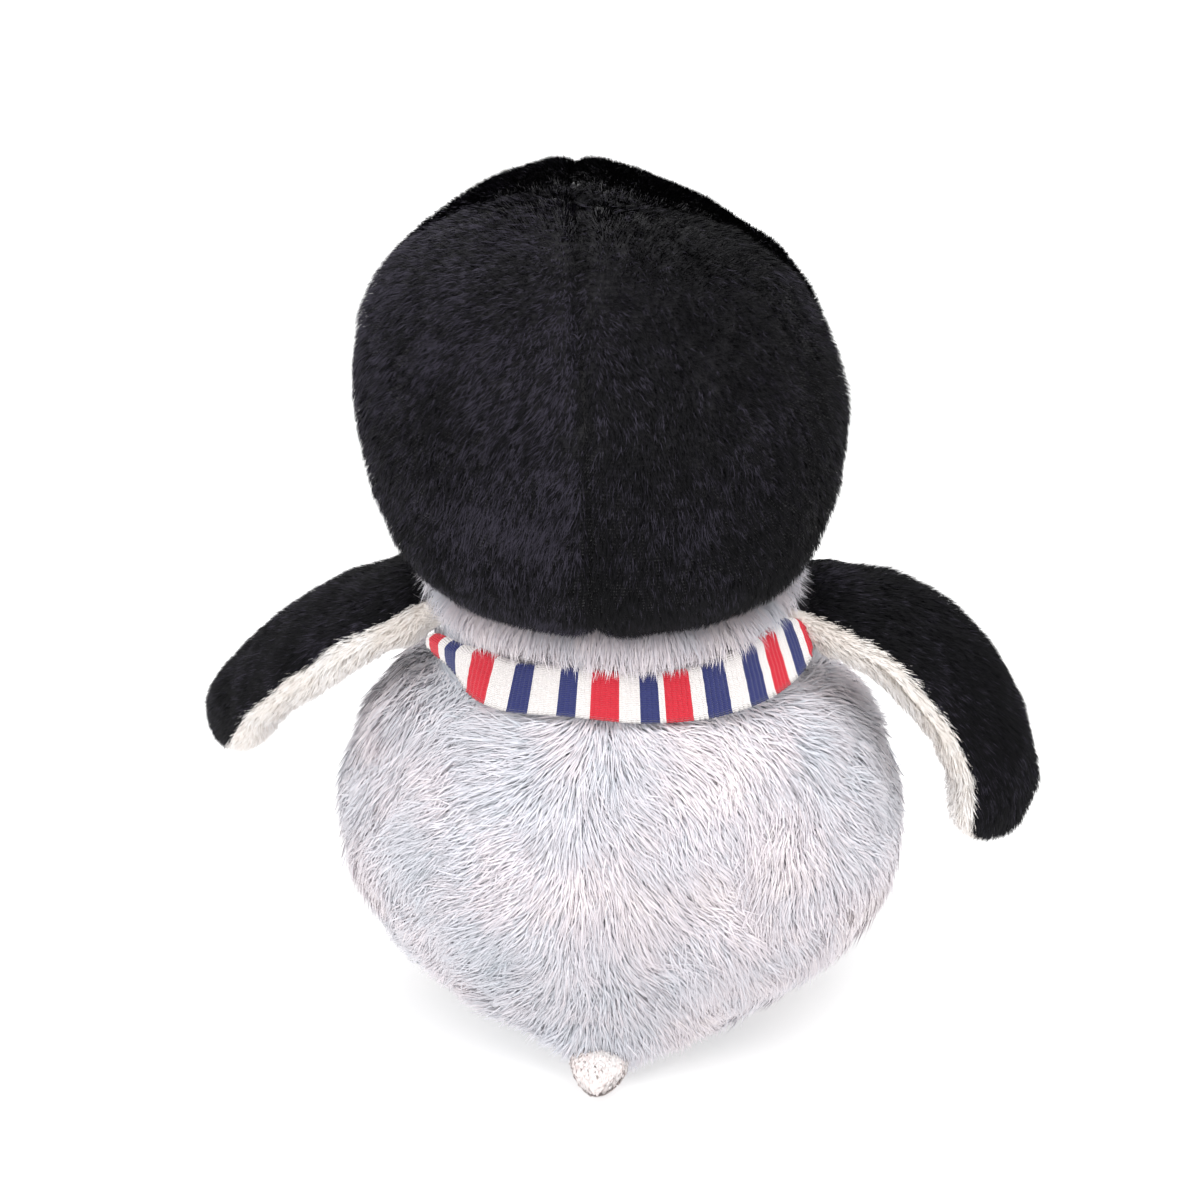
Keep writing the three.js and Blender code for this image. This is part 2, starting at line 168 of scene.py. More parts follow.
def curve_through(knots, t):
    """A smooth curve through knots, t from 0 to 1: cubic pieces with their neighbours' mean slopes."""
    knots = np.asarray(knots, float)
    slope = np.gradient(knots, axis=0)
    place = np.clip(np.asarray(t, float), 0, 1) * (len(knots) - 1)
    i = np.minimum(place.astype(int), len(knots) - 2)
    s = (place - i)[..., None]
    return (
        (2 * s**3 - 3 * s**2 + 1) * knots[i]
        + (s**3 - 2 * s**2 + s) * slope[i]
        + (3 * s**2 - 2 * s**3) * knots[i + 1]
        + (s**3 - s**2) * slope[i + 1]
    )


def srgb(*levels):
    """A colour given as three display levels from 0 to 255, as linear light."""
    v = np.array(levels, float) / 255
    return tuple(np.where(v <= 0.04045, v / 12.92, ((v + 0.055) / 1.055) ** 2.4).tolist())


# ---------------------------------------------------------------- materials


class Value:
    """A shader socket that takes part in Python arithmetic, each sum being a Math node."""

    def __init__(self, finish, socket):
        self.finish, self.socket = finish, socket

    def maths(self, operation, *values):
        return self.finish.node("ShaderNodeMath", {"operation": operation}, dict(enumerate(values)))

    def __add__(self, other):
        return self.maths("ADD", self, other)

    def __sub__(self, other):
        return self.maths("SUBTRACT", self, other)

    def __rsub__(self, other):
        return self.maths("SUBTRACT", other, self)

    def __mul__(self, other):
        return self.maths("MULTIPLY", self, other)

    def __truediv__(self, other):
        return self.maths("DIVIDE", self, other)

    def __rtruediv__(self, other):
        return self.maths("DIVIDE", other, self)

    def __pow__(self, other):
        return self.maths("POWER", self, other)

    __radd__, __rmul__ = __add__, __mul__

    def sine(self):
        return self.maths("SINE", self)


class Finish:
    """A material and its nodes. Constants go straight onto the shader's own sockets."""

    def __init__(self, name, colour, roughness, **constants):
        self.material = bpy.data.materials.new(name)
        self.material.use_nodes = True
        self.tree = self.material.node_tree
        self.shader = self.tree.nodes["Principled BSDF"]
        self.material.diffuse_color = (*colour, 1)
        self.set("Base Color", (*colour, 1))
        self.set("Roughness", roughness)
        for socket, value in constants.items():
            self.set(socket.replace("_", " "), value)

    def set(self, socket, value):
        """Gives one of the shader's sockets a constant or a link."""
        target = self.shader.inputs[socket]
        if isinstance(value, Value):
            self.tree.links.new(value.socket, target)
        else:
            target.default_value = value
        return self

    def node(self, kind, settings, sockets, output=0):
        """Any node: its settings are set first, then its sockets' values and links."""
        node = self.tree.nodes.new(kind)
        for key, value in settings.items():
            setattr(node, key, value)
        for key, value in sockets.items():
            if isinstance(value, Value):
                self.tree.links.new(value.socket, node.inputs[key])
            else:
                node.inputs[key].default_value = value
        return Value(self, node.outputs[output])

    def place(self, output="Object"):
        """Where a point is on the piece: its Object coordinates, or its UV."""
        return self.node("ShaderNodeTexCoord", {}, {}, output)

    def grain(self, scale, detail=3.0):
        """Cloudy noise from 0 to 1, scale lumps to the metre."""
        sockets = {"Vector": self.place(), "Scale": scale, "Detail": detail}
        return self.node("ShaderNodeTexNoise", {}, sockets, "Fac")

    def blend(self, a, b, share):
        """A colour between two others."""
        a = a if isinstance(a, Value) else (*a, 1)
        b = b if isinstance(b, Value) else (*b, 1)
        return self.node(
            "ShaderNodeMix", {"data_type": "RGBA"}, {0: share, 6: a, 7: b}, 2)

    def relief(self, height, distance):
        """Turns a height from 0 to 1 into bumps of that many metres."""
        return self.set("Normal", self.node(
            "ShaderNodeBump", {}, {"Height": height, "Distance": distance, "Strength": 1.0}))


def pile_shades(name, colours, roughness, **constants):
    """One plain finish for each shade of fibre; the coat mixes them tuft by tuft."""
    return [
        Finish(f"{name}_fibre_{i}", colour, roughness, **constants).material
        for i, colour in enumerate(colours)
    ]


def backing_cloth(name, colour, deep):
    """The knitted ground that a pile grows from: cloudy colour, and fine looped rows with painted shade
    between them.
    """
    f = Finish(name, colour, 0.95, Sheen_Weight=0.2)
    x = f.node("ShaderNodeTexWave", {"bands_direction": "Z"}, {"Vector": f.place(), "Scale": 260.0})
    # Darker where the looped rows' relief is low: painted shade between the rows, over cloudy tone from the
    # noise.
    f.set("Base Color", f.blend(deep, colour, f.grain(180.0) * 0.7 + x * 0.3))
    f.relief(x * 0.6 + f.grain(1500.0, 1.0) * 0.4, 0.0004)
    return f.material


def stuffing_fibre():
    """Loose polyester stuffing: white, cloudy and slightly springy to look at."""
    f = Finish("stuffing", srgb(244, 244, 242), 1.0, Sheen_Weight=0.3)
    f.set("Base Color", f.blend(srgb(216, 216, 216), srgb(250, 250, 248), f.grain(140.0, 6.0)))
    f.relief(f.grain(420.0, 6.0), 0.0012)
    return f.material


def pellet_cloth():
    """A plain woven cotton bag: two crossed sets of threads, with painted shade where the weave sinks."""
    f = Finish("pellet_bag_weave", srgb(226, 220, 206), 0.9)
    bands = [
        f.node("ShaderNodeTexWave", {"bands_direction": d}, {"Vector": f.place(), "Scale": 300.0})
        for d in ("X", "Z")
    ]
    weave = bands[0] * 0.5 + bands[1] * 0.5
    # Darker where the weave's relief is low: painted shade between the threads.
    f.set("Base Color", f.blend(srgb(196, 188, 172), srgb(232, 227, 214), weave))
    f.relief(weave, 0.0003)
    return f.material


def knitting(name, colour, deep):
    """Rib-knitted yarn: fine stitches along each rib, with painted shade between the stitches, and slightly
    uneven dye.
    """
    f = Finish(name, colour, 0.85, Sheen_Weight=0.35, Sheen_Roughness=0.4)
    at = f.place("UV")
    stitch = f.node("ShaderNodeTexWave", {"bands_direction": "Y", "wave_profile": "SIN"},
                    {"Vector": at, "Scale": 0.55, "Distortion": 1.2, "Detail": 1.0})
    # Darker where the stitches' relief is low: painted shade between the stitches, mixed with uneven dye from
    # the noise.
    f.set("Base Color", f.blend(deep, colour, stitch * 0.35 + f.grain(900.0) * 0.5 + 0.25))
    f.relief(stitch * 0.7 + f.grain(2600.0, 2.0) * 0.3, 0.00035)
    return f.material


def eye_plastic():
    """Polished black plastic with the faintest cloud in its gloss."""
    f = Finish("eye_gloss", srgb(14, 12, 14), 0.08, Coat_Weight=0.6, Coat_Roughness=0.03)
    f.set("Roughness", f.grain(300.0) * 0.05 + 0.05)
    f.set("Base Color", f.blend(srgb(9, 8, 10), srgb(26, 20, 18), f.grain(120.0)))
    return f.material


def washer_plastic():
    """Milky moulded plastic, satin with fine flow marks."""
    f = Finish("washer_satin", srgb(238, 238, 232), 0.45)
    f.set("Base Color", f.blend(srgb(226, 226, 220), srgb(244, 244, 238), f.grain(500.0)))
    f.relief(f.grain(900.0), 0.0001)
    return f.material


def studio_floor():
    """Matt pale paper with a trace of tone, lit a little from behind so that shadows stay faint."""
    f = Finish("studio_paper", srgb(200, 200, 200), 1.0, Specular_IOR_Level=0.0,
               Emission_Color=(1, 1, 1, 1), Emission_Strength=0.5)
    f.set("Base Color", f.blend(srgb(198, 198, 198), srgb(203, 203, 203), f.grain(3.0)))
    return f.material


# ---------------------------------------------------------------- meshes


def make_mesh(name, points, faces, materials=(), picks=None, normals=None, uv=None):
    """An object from points in millimetres and lists of faces, one array for each corner count."""
    mesh = bpy.data.meshes.new(name)
    mesh.vertices.add(len(points))
    mesh.vertices.foreach_set("co", (np.asarray(points) * MM).astype(np.float32).ravel())
    corners = np.concatenate([f.ravel() for f in faces])
    counts = np.concatenate([np.full(len(f), f.shape[1]) for f in faces])
    mesh.loops.add(len(corners))
    mesh.loops.foreach_set("vertex_index", corners.astype(np.int32))
    mesh.polygons.add(len(counts))
    starts = np.concatenate([[0], np.cumsum(counts)[:-1]])
    mesh.polygons.foreach_set("loop_start", starts.astype(np.int32))
    for material in materials:
        mesh.materials.append(material)
    if picks is not None:
        mesh.polygons.foreach_set("material_index", np.asarray(picks).astype(np.int32))
    mesh.update(calc_edges=True)
    mesh.polygons.foreach_set("use_smooth", np.ones(len(counts), bool))
    if uv is not None:
        layer = mesh.uv_layers.new(name="UVMap")
        layer.data.foreach_set("uv", np.asarray(uv, np.float32)[corners].ravel())
    if normals is not None:
        mesh.normals_split_custom_set_from_vertices(np.asarray(normals, np.float32))
    made = bpy.data.objects.new(name, mesh)
    bpy.context.scene.collection.objects.link(made)
    return made


def outward(points):
    """The outward direction at each point of a grid: its run down crossed with its run round."""
    across = np.roll(points, -1, axis=1) - np.roll(points, 1, axis=1)
    down = np.gradient(points, axis=0)
    n = unit(np.cross(down, across))
    n[0] = unit(n[1].mean(axis=0))
    n[-1] = unit(n[-2].mean(axis=0))
    return n


class Form:
    """A closed form as a grid: rows run from its first pole to its last, columns go round it."""

    def __init__(self, points):
        points = np.array(points, float)
        points[0] = points[0].mean(axis=0)
        points[-1] = points[-1].mean(axis=0)
        self.points = points
        self.normals = outward(points)

    def moved(self, out):
        """The same form with each point moved outwards by a distance."""
        return Form(self.points + self.normals * np.asarray(out)[..., None])

    def centres(self):
        """The middle of each cell."""
        p = self.points
        r = np.roll(p, -1, axis=1)
        return (p[:-1] + p[1:] + r[:-1] + r[1:]) / 4

    def cells(self):
        """The four corners of each cell as numbers of grid points, facing outwards."""
        rows, cols = self.points.shape[:2]
        at = np.arange(rows * cols).reshape(rows, cols)
        at[0], at[-1] = at[0, 0], at[-1, 0]
        r = np.roll(at, -1, axis=1)
        return np.stack([at[:-1], at[1:], r[1:], r[:-1]], axis=-1)

    def cloth(self, keep):
        """The corners of the kept cells and the outward directions there, for the pile to grow on."""
        cells = self.cells()[keep]
        return self.points.reshape(-1, 3)[cells], self.normals.reshape(-1, 3)[cells]

    def mesh(self, name, materials, keep=None, picks=None, uv=None):
        """The kept cells as a mesh, with the thin ones at the poles made triangles."""
        cells = self.cells()
        keep = np.ones(cells.shape[:2], bool) if keep is None else keep
        cells = cells[keep]
        first = cells[:, 0] == cells[:, 3]
        last = cells[:, 1] == cells[:, 2]
        used, again = np.unique(cells, return_inverse=True)
        cells = again.reshape(cells.shape)
        whole = ~(first | last)
        faces = [cells[whole], cells[first][:, [0, 1, 2]], cells[last][:, [0, 1, 3]]]
        if picks is not None:
            flat = picks[keep]
            picks = np.concatenate([flat[whole], flat[first], flat[last]])
        uv = None if uv is None else uv.reshape(-1, 2)[used]
        return make_mesh(name, self.points.reshape(-1, 3)[used], faces, materials, picks, uv=uv)


def ball(rows, cols):
    """Unit directions over a ball: height goes as the cosine of the angle down from its top."""
    down = np.linspace(0, math.pi, rows)[:, None]
    turn = (np.arange(cols) * (2 * math.pi / cols))[None, :]
    level = np.sin(down)
    return np.stack([level * np.cos(turn), level * np.sin(turn), np.cos(down) + 0 * turn], axis=-1)


def refined(coarse, rows, cols):
    """A grid's values on a finer grid, by straight-line blending between its points."""
    old_rows, old_cols = coarse.shape[:2]
    y = np.linspace(0, old_rows - 1, rows)
    x = np.arange(cols) * (old_cols / cols)
    i = np.minimum(y.astype(int), old_rows - 2)
    j = x.astype(int)
    fy, fx = (y - i)[:, None, None], (x - j)[None, :, None]
    wide = np.concatenate([coarse, coarse[:, :1]], axis=1)
    top = wide[i][:, j] * (1 - fx) + wide[i][:, j + 1] * fx
    low = wide[i + 1][:, j] * (1 - fx) + wide[i + 1][:, j + 1] * fx
    return top * (1 - fy) + low * fy


def swelled(shape_at, held, rows, cols, cap, pressure=4.0):
    """How far stuffing pushes a sewn form out: cloth under pressure, held along its seams.

    shape_at gives the form's grid for a number of rows and columns, and held which points the
    seams and neighbours hold. The cloth is worked out on a coarse grid at ten times the size,
    and what it moves along its outward directions, at most the cap, is blended to the fine grid.
    """
    few_rows, few_cols = 34, 60
    form = Form(shape_at(few_rows, few_cols))
    enlarge = 10.0
    big = Form(form.points * enlarge)
    made = big.mesh("swelling", [])
    cells = big.cells().reshape(-1)
    used = np.unique(cells)
    fixed = held(form.points).reshape(-1)[used]
    group = made.vertex_groups.new(name="seams")
    group.add(np.flatnonzero(fixed).tolist(), 1.0, "REPLACE")
    cloth = made.modifiers.new("stuffing", "CLOTH")
    cloth.settings.quality = 6
    cloth.settings.mass = 0.3
    cloth.settings.use_pressure = True
    cloth.settings.uniform_pressure_force = pressure
    cloth.settings.effector_weights.gravity = 0
    cloth.settings.vertex_group_mass = "seams"
    cloth.collision_settings.use_collision = False
    scene = bpy.context.scene
    for number in range(1, 21):
        scene.frame_set(number)
    graph = bpy.context.evaluated_depsgraph_get()
    result = made.evaluated_get(graph)
    co = np.empty(len(used) * 3, np.float32)
    result.data.vertices.foreach_get("co", co)
    after = co.reshape(-1, 3) / MM / enlarge
    push = np.zeros(few_rows * few_cols)
    push[used] = np.sum(
        (after - form.points.reshape(-1, 3)[used]) * form.normals.reshape(-1, 3)[used], axis=-1)
    push = push.reshape(few_rows, few_cols)
    push[0], push[-1] = push[0, 0], push[-1, 0]
    scene.frame_set(1)
    bpy.data.objects.remove(made)
    return refined(np.clip(push, -cap, cap)[..., None], rows, cols)[..., 0]


def snapped(form, seam, reach):
    """The form with the points nearest to a seam moved onto it, down the slope of its distance."""
    p = form.points
    here = seam(p)
    step = 0.01
    slope = np.stack(
        [(seam(p + step * np.eye(3)[k]) - here) / step for k in range(3)], axis=-1)
    move = -here[..., None] * slope / np.maximum(dot(slope, slope), 0.1)
    poles = np.linalg.norm(p - p[:1, :1], axis=-1) < 7
    near = ((np.abs(here) < reach) & ~poles)[..., None]
    return Form(p + np.where(near, move, 0))


def sides_of(form, seam):
    """Which cells lie on the positive side of a seam, by the mean of their corners."""
    d = seam(form.points)
    r = np.roll(d, -1, axis=1)
    return (d[:-1] + d[1:] + r[:-1] + r[1:]) > 0


def walled(made, thickness):
    """Gives an open cover its cloth's thickness, inwards."""
    wall = made.modifiers.new("cloth", "SOLIDIFY")
    wall.thickness = thickness * MM
    wall.offset = -1
    wall.use_even_offset = False
    return made


def dressed(made, body, slot, *nodes, fill=None):
    """Fastens a piece to its body and hides the nodes that it stands for; its slot and fill are not used."""
    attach(made, body)
    if nodes:
        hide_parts(*nodes)
    return made


# ---------------------------------------------------------------- pile


class Coat:
    """How a pile is: its tufts' number, size in millimetres, lean in degrees, and shades."""

    def __init__(self, number, length, width, shades, lean=(50, 12), wander=0.5, stray=0.16,
                 tuft=5.0, pull=0.35, patch=22.0, grain=0.3, lift=0.45, seed=1):
        self.number, self.length, self.width, self.shades = number, length, width, shades
        self.lean, self.wander, self.stray = np.radians(lean), wander, stray
        self.tuft, self.pull, self.patch, self.grain, self.seed = tuft, pull, patch, grain, seed
        self.lift = lift


def gathered(points, tuft, share):
    """Points drawn a share of the way to the middle of their own tuft's points."""
    count = np.bincount(tuft)
    centre = np.stack([np.bincount(tuft, points[:, k]) / count for k in range(3)], axis=-1)
    return mix(points, centre[tuft], share)


def grow(name, body, cloth, coat, nap, trim=None, tint=None, floor=None, amount=1.0):
    """A pile: for each tuft a ribbon of two bends that narrows to a tip.

    Roots are spread over the cloth by area. Each ribbon leaves along the nap, turned by noise,
    leaning from coat.lean[0] at its root to coat.lean[1] at its tip. Neighbours are drawn
    together into tufts, and each face takes the shade that noise and chance give its tuft.
    """
    draw = np.random.default_rng(coat.seed)
    corners, outs = cloth
    area = np.linalg.norm(
        np.cross(corners[:, 2] - corners[:, 0], corners[:, 3] - corners[:, 1]), axis=-1)
    count = int(coat.number * amount)
    cell = draw.choice(len(area), count, p=area / area.sum())
    s, t = draw.random((count, 1)), draw.random((count, 1))

    def spread(values):
        v = values[cell]
        return mix(mix(v[:, 0], v[:, 1], t), mix(v[:, 3], v[:, 2], t), s)

    root, out = spread(corners), unit(spread(outs))
    length = coat.length * (1 + 0.22 * noise(root, 7.0, 11) + draw.normal(0, 0.1, count))
    if trim is not None:
        share = trim(root)
        lasting = share > 0.04
        root, out, length, share = root[lasting], out[lasting], length[lasting], share[lasting]
        length = length * share
    count = len(root)
    along = nap(root, out)
    along = unit(along - dot(along, out) * out)
    swing = coat.wander * (0.8 * noise(root, 26.0, 5) + 0.45 * noise(root, 9.0, 6))
    along = turned(along, out, (swing + draw.normal(0, coat.stray, count))[:, None])
    side = np.cross(out, along)
    rise = draw.normal(0, 0.1, count) + 0.22 * noise(root, 12.0, 8)
    first, last = (coat.lean[0] + rise)[:, None], (coat.lean[1] + rise)[:, None]
    half = length[:, None] / 2
    bend = (0.25 * noise(root, 11.0, 9) + draw.normal(0, 0.08, count))[:, None]
    middle_point = root + half * (np.cos(first) * along + np.sin(first) * out)
    tip = middle_point + half * (np.cos(last) * (along + bend * side) + np.sin(last) * out)
    place = np.floor((root + 2.2 * noise(root, 6.0, 21)[:, None]) / coat.tuft)
    tuft = np.unique(place, axis=0, return_inverse=True)[1].reshape(-1)
    middle_point = gathered(middle_point, tuft, coat.pull * 0.5)
    tip = gathered(tip, tuft, coat.pull)
    roll = draw.normal(0, 0.5, (count, 1))
    across = side * np.cos(roll) + out * np.sin(roll)
    wide = across * coat.width * (0.8 + 0.4 * draw.random((count, 1))) / 2
    sunk = root - 0.5 * out
    wide = np.where(dot(np.cross(wide, tip - sunk), out) < 0, -wide, wide)
    if floor is not None:
        middle_point[:, 2] = np.maximum(middle_point[:, 2], floor)
        tip[:, 2] = np.maximum(tip[:, 2], floor)
        sunk[:, 2] = np.maximum(sunk[:, 2], floor)
    points = np.stack(
        [sunk - wide, sunk + wide, middle_point + 0.85 * wide, middle_point - 0.85 * wide, tip], axis=1)
    flat = unit(np.cross(wide, tip - sunk))
    light = unit(mix(out, flat, coat.lift))
    normals = np.repeat(light[:, None], 5, axis=1)
    normals[:, 4] = unit(light + 0.35 * along)
    base = (np.arange(count) * 5)[:, None]
    quads, tips = base + np.array([[0, 1, 2, 3]]), base + np.array([[3, 2, 4]])
    many = len(coat.shades)
    level = 0.5 + 0.32 * noise(root, coat.patch, 31) + 0.16 * noise(root, coat.patch / 3, 32)
    level = level + coat.grain * (lattice(place, 33) - 0.5)
    level = level + draw.normal(0, coat.grain * 0.45, count)
    if tint is not None:
        level = level + tint(root)
    picks = [np.clip(np.floor((level + up) * many), 0, many - 1) for up in (-0.1, 0.08)]
    made = make_mesh(name, points.reshape(-1, 3), [quads, tips], coat.shades,
                     np.concatenate(picks), normals.reshape(-1, 3))
    if body is not None:
        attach(made, body)
    return made


# ---------------------------------------------------------------- sizes and colours


def length_property(name, default_mm, description):
    """A size that shows in the panel, in the scene's units."""
    return bpy.props.FloatProperty(
        name=name, default=default_mm * MM, min=0, unit="LENGTH", precision=4, description=description)


def colour_property(name, levels, description):
    """A colour that shows in the panel."""
    return bpy.props.FloatVectorProperty(
        name=name, default=srgb(*levels), size=3, min=0, max=1, subtype="COLOR", description=description)


class PenguinPile(bpy.types.PropertyGroup):
    """How long and how dense the pile of each cloth is"""

    hood: length_property("Hood pile", 4.6, "Length of the black pile on the head")
    body: length_property("Body pile", 12.5, "Length of the grey pile on the back and sides")
    flipper: length_property("Flipper pile", 5.0, "Length of the black pile on the flippers")
    cream: length_property("Cream pile", 4.6, "Length of the cream pile on face, belly and flippers")
    fullness: bpy.props.FloatProperty(
        name="Fullness", default=1.0, min=0.05, max=1.5, subtype="FACTOR",
        description="Share of the full number of tufts")


class PenguinSewing(bpy.types.PropertyGroup):
    """How the covers are sewn and filled"""

    cloth: length_property("Cloth", 0.9, "Thickness of a cover without its pile")
    seam: length_property("Seam depth", 2.2, "How far a seam pulls a cover in")
    swell: length_property("Swell", 2.5, "The most that the stuffing pushes a cover out")


class PenguinScarf(bpy.types.PropertyGroup):
    """The knitted scarf"""

    rib: length_property("Rib", 1.35, "Distance from rib to rib")
    relief: length_property("Rib height", 0.48, "How far a rib stands up")
    layer: length_property("Layer", 1.3, "Thickness of one layer of knitting")
    red: colour_property("Red", (226, 36, 58), "Red yarn")
    navy: colour_property("Navy", (44, 52, 116), "Navy yarn")
    white: colour_property("White", (255, 249, 247), "White yarn")


class PenguinColours(bpy.types.PropertyGroup):
    """The colours of the cloths"""

    black: colour_property("Black", (20, 18, 24), "Backing of the black cloth")
    grey: colour_property("Grey", (196, 200, 210), "Backing of the grey cloth")
    cream: colour_property("Cream", (244, 236, 228), "Backing of the cream cloth")
    orange: colour_property("Orange", (236, 160, 70), "Velour of the beak and feet")


GREY_SHADES = [srgb(*c) for c in (
    (206, 211, 219), (213, 216, 223), (219, 219, 226), (225, 222, 228), (231, 224, 229), (240, 232, 234))]
# The black pile's shades; the last and lightest is a painted highlight, for the speckles of light on the
# fibre tips.
BLACK_SHADES_AND_HIGHLIGHT = [srgb(*c) for c in (
    (5, 5, 8), (7, 7, 10), (10, 9, 13), (14, 13, 18), (24, 22, 29), (52, 49, 60))]
CREAM_SHADES = [srgb(*c) for c in (
    (238, 229, 222), (246, 239, 233), (251, 246, 242), (254, 251, 249))]
PINK_SHADES = [srgb(*c) for c in ((253, 238, 236), (255, 246, 244), (255, 251, 250))]
ORANGE_SHADES = [srgb(*c) for c in ((240, 158, 64), (247, 174, 84), (252, 190, 106))]

kept = {}


def finish_of(key, make):
    """A finish made once and shared by every piece that has it."""
    if key not in kept:
        kept[key] = make()
    return kept[key]


def grey_pile():
    return finish_of("grey_pile", lambda: pile_shades(
        "grey", GREY_SHADES, 0.8, Sheen_Weight=0.2, Sheen_Roughness=0.5, Specular_IOR_Level=0.15))


def black_pile():
    return finish_of("black_pile", lambda: pile_shades(
        "black", BLACK_SHADES_AND_HIGHLIGHT, 0.6, Specular_IOR_Level=0.12))


def cream_pile():
    return finish_of("cream_pile", lambda: pile_shades(
        "cream", CREAM_SHADES, 0.8, Sheen_Weight=0.3, Specular_IOR_Level=0.2))


def pink_pile():
    return finish_of("pink_pile", lambda: pile_shades(
        "pink", PINK_SHADES, 0.8, Sheen_Weight=0.3, Specular_IOR_Level=0.2))


def orange_pile():
    return finish_of("orange_pile", lambda: pile_shades(
        "orange", ORANGE_SHADES, 0.8, Sheen_Weight=0.25, Specular_IOR_Level=0.2))


def backing(which):
    colour = np.array(getattr(bpy.context.scene.penguin_colours, which))
    return finish_of(which, lambda: backing_cloth(f"{which}_backing", tuple(colour), tuple(colour * 0.72)))


def stuffing():
    return finish_of("stuffing", stuffing_fibre)


def stuffed(name, body, form, inset, node, seed):
    """The stuffing inside a cover: the form drawn in, with the small lumps of hand filling."""
    lumps = 0.5 * noise(form.points, 14.0, seed) + 0.3 * noise(form.points, 6.0, seed + 1)
    made = form.moved(lumps - inset).mesh(name, [stuffing()])
    return dressed(made, body, "fibre_filling", node, fill=0.8)


def puckered(form, seams, depth, width):
    """The form drawn in along its seams, as a bell of the given width across each."""
    near = np.min([np.abs(seam(form.points)) for seam in seams], axis=0)
    gathers = 1 + 0.35 * noise(form.points, 5.0, 41)
    return form.moved(-depth * gathers * np.exp(-((near / width) ** 2)))


# ---------------------------------------------------------------- body


def evenly(knots, rows):
    """Points at even steps along the smooth curve through knots."""
    dense = curve_through(knots, np.linspace(0, 1, 600))
    run = np.concatenate([[0], np.cumsum(np.linalg.norm(np.diff(dense, axis=0), axis=1))])
    at = np.linspace(0, run[-1], rows)
    return np.stack([np.interp(at, run, dense[:, k]) for k in range(dense.shape[1])], axis=-1)


def body_radius(z):
    """The body's half width at a height."""
    side = curve_through(BODY_SIDE, np.linspace(0, 1, 200))
    return np.interp(z, side[:, 1], side[:, 0])


def broad(z):
    """How much wider than deep the body gets at the shoulders."""
    return 1 + 0.17 * smooth(z, 114, 132)


def body_shape(rows, cols, inset):
    """The turned body, flattened front to back, broader at the shoulders and fuller on its right.

    Each row is a circle of the profile's radius, its y scaled, and its x scaled by the height.
    Low at the back the rump is drawn out towards the tail by a bell.
    """
    knots = [(0, 139), (24, 139), *BODY_SIDE[::-1], (26, 0), (0, 0)]
    side = evenly(knots, rows)
    turn = np.arange(cols) * (2 * math.pi / cols)
    z = side[:, 1:] + 0 * turn
    x = side[:, :1] * np.cos(turn) * broad(z)
    fuller = 0.03 * np.exp(-(((z - 52) / 26) ** 2)) - 0.08 * np.exp(-(((z - 14) / 15) ** 2))
    x = x * np.where(x < 0, 1 + fuller, 1)
    y = side[:, :1] * np.sin(turn) * BODY_DEPTH
    y = y + 14.0 * np.exp(-((x / 21) ** 2) - ((z - 9) / 14) ** 2) * smooth(y, 10, 30)
    p = Form(np.stack([x, y, z], axis=-1)).moved(-inset).points
    p[..., 2] -= (inset - 0.6) * (1 - smooth(p[..., 2], inset, 32))
    return p


def centre_seam(p):
    """The seam down the middle of the back: how far a point is to the left of it."""
    return p[..., 0]


def belly_seam(p):
    """The belly's seam: how far a point in front is outside an upright oval."""
    ring = (np.hypot(p[..., 0] / 47, (p[..., 2] - 66) / 50) - 1) * 47
    return np.where(p[..., 1] < 0, ring, 40.0)


def base_seam(p):
    """The base's seam: how far a low point is outside the flat oval that the toy sits on."""
    ring = np.hypot(p[..., 0], p[..., 1] / BODY_DEPTH) - 35
    return np.where(p[..., 2] < 7, ring, 40.0)


SCARF_Z, SCARF_SLOPE = 119.5, 0.167


def scarf_height(p):
    """How far above the scarf's middle a point of the body is; the scarf sits higher behind."""
    return p[..., 2] - SCARF_SLOPE * p[..., 1] - SCARF_Z


def body_nap(root, out):
    """Down the back; under the scarf it parts to both sides, and the left side sweeps outwards."""
    x, z = root[:, 0], root[:, 2]
    left = smooth(x, -9, 30)
    high = smooth(z, 96, 118) * (1 - smooth(z, 120, 128))
    aside = mix(-0.06, 0.75, left)
    aside = mix(aside, mix(-0.9, 1.0, smooth(x, -14, 14)), high * 0.7)
    drop = mix(-1.0, -0.8, left) * (1 - 0.4 * high)
    behind = smooth(root[:, 1], -10, 20)
    aside = aside * mix(0.35, 1.0, behind)
    return np.stack([aside, 0.15 * behind, drop], axis=-1)


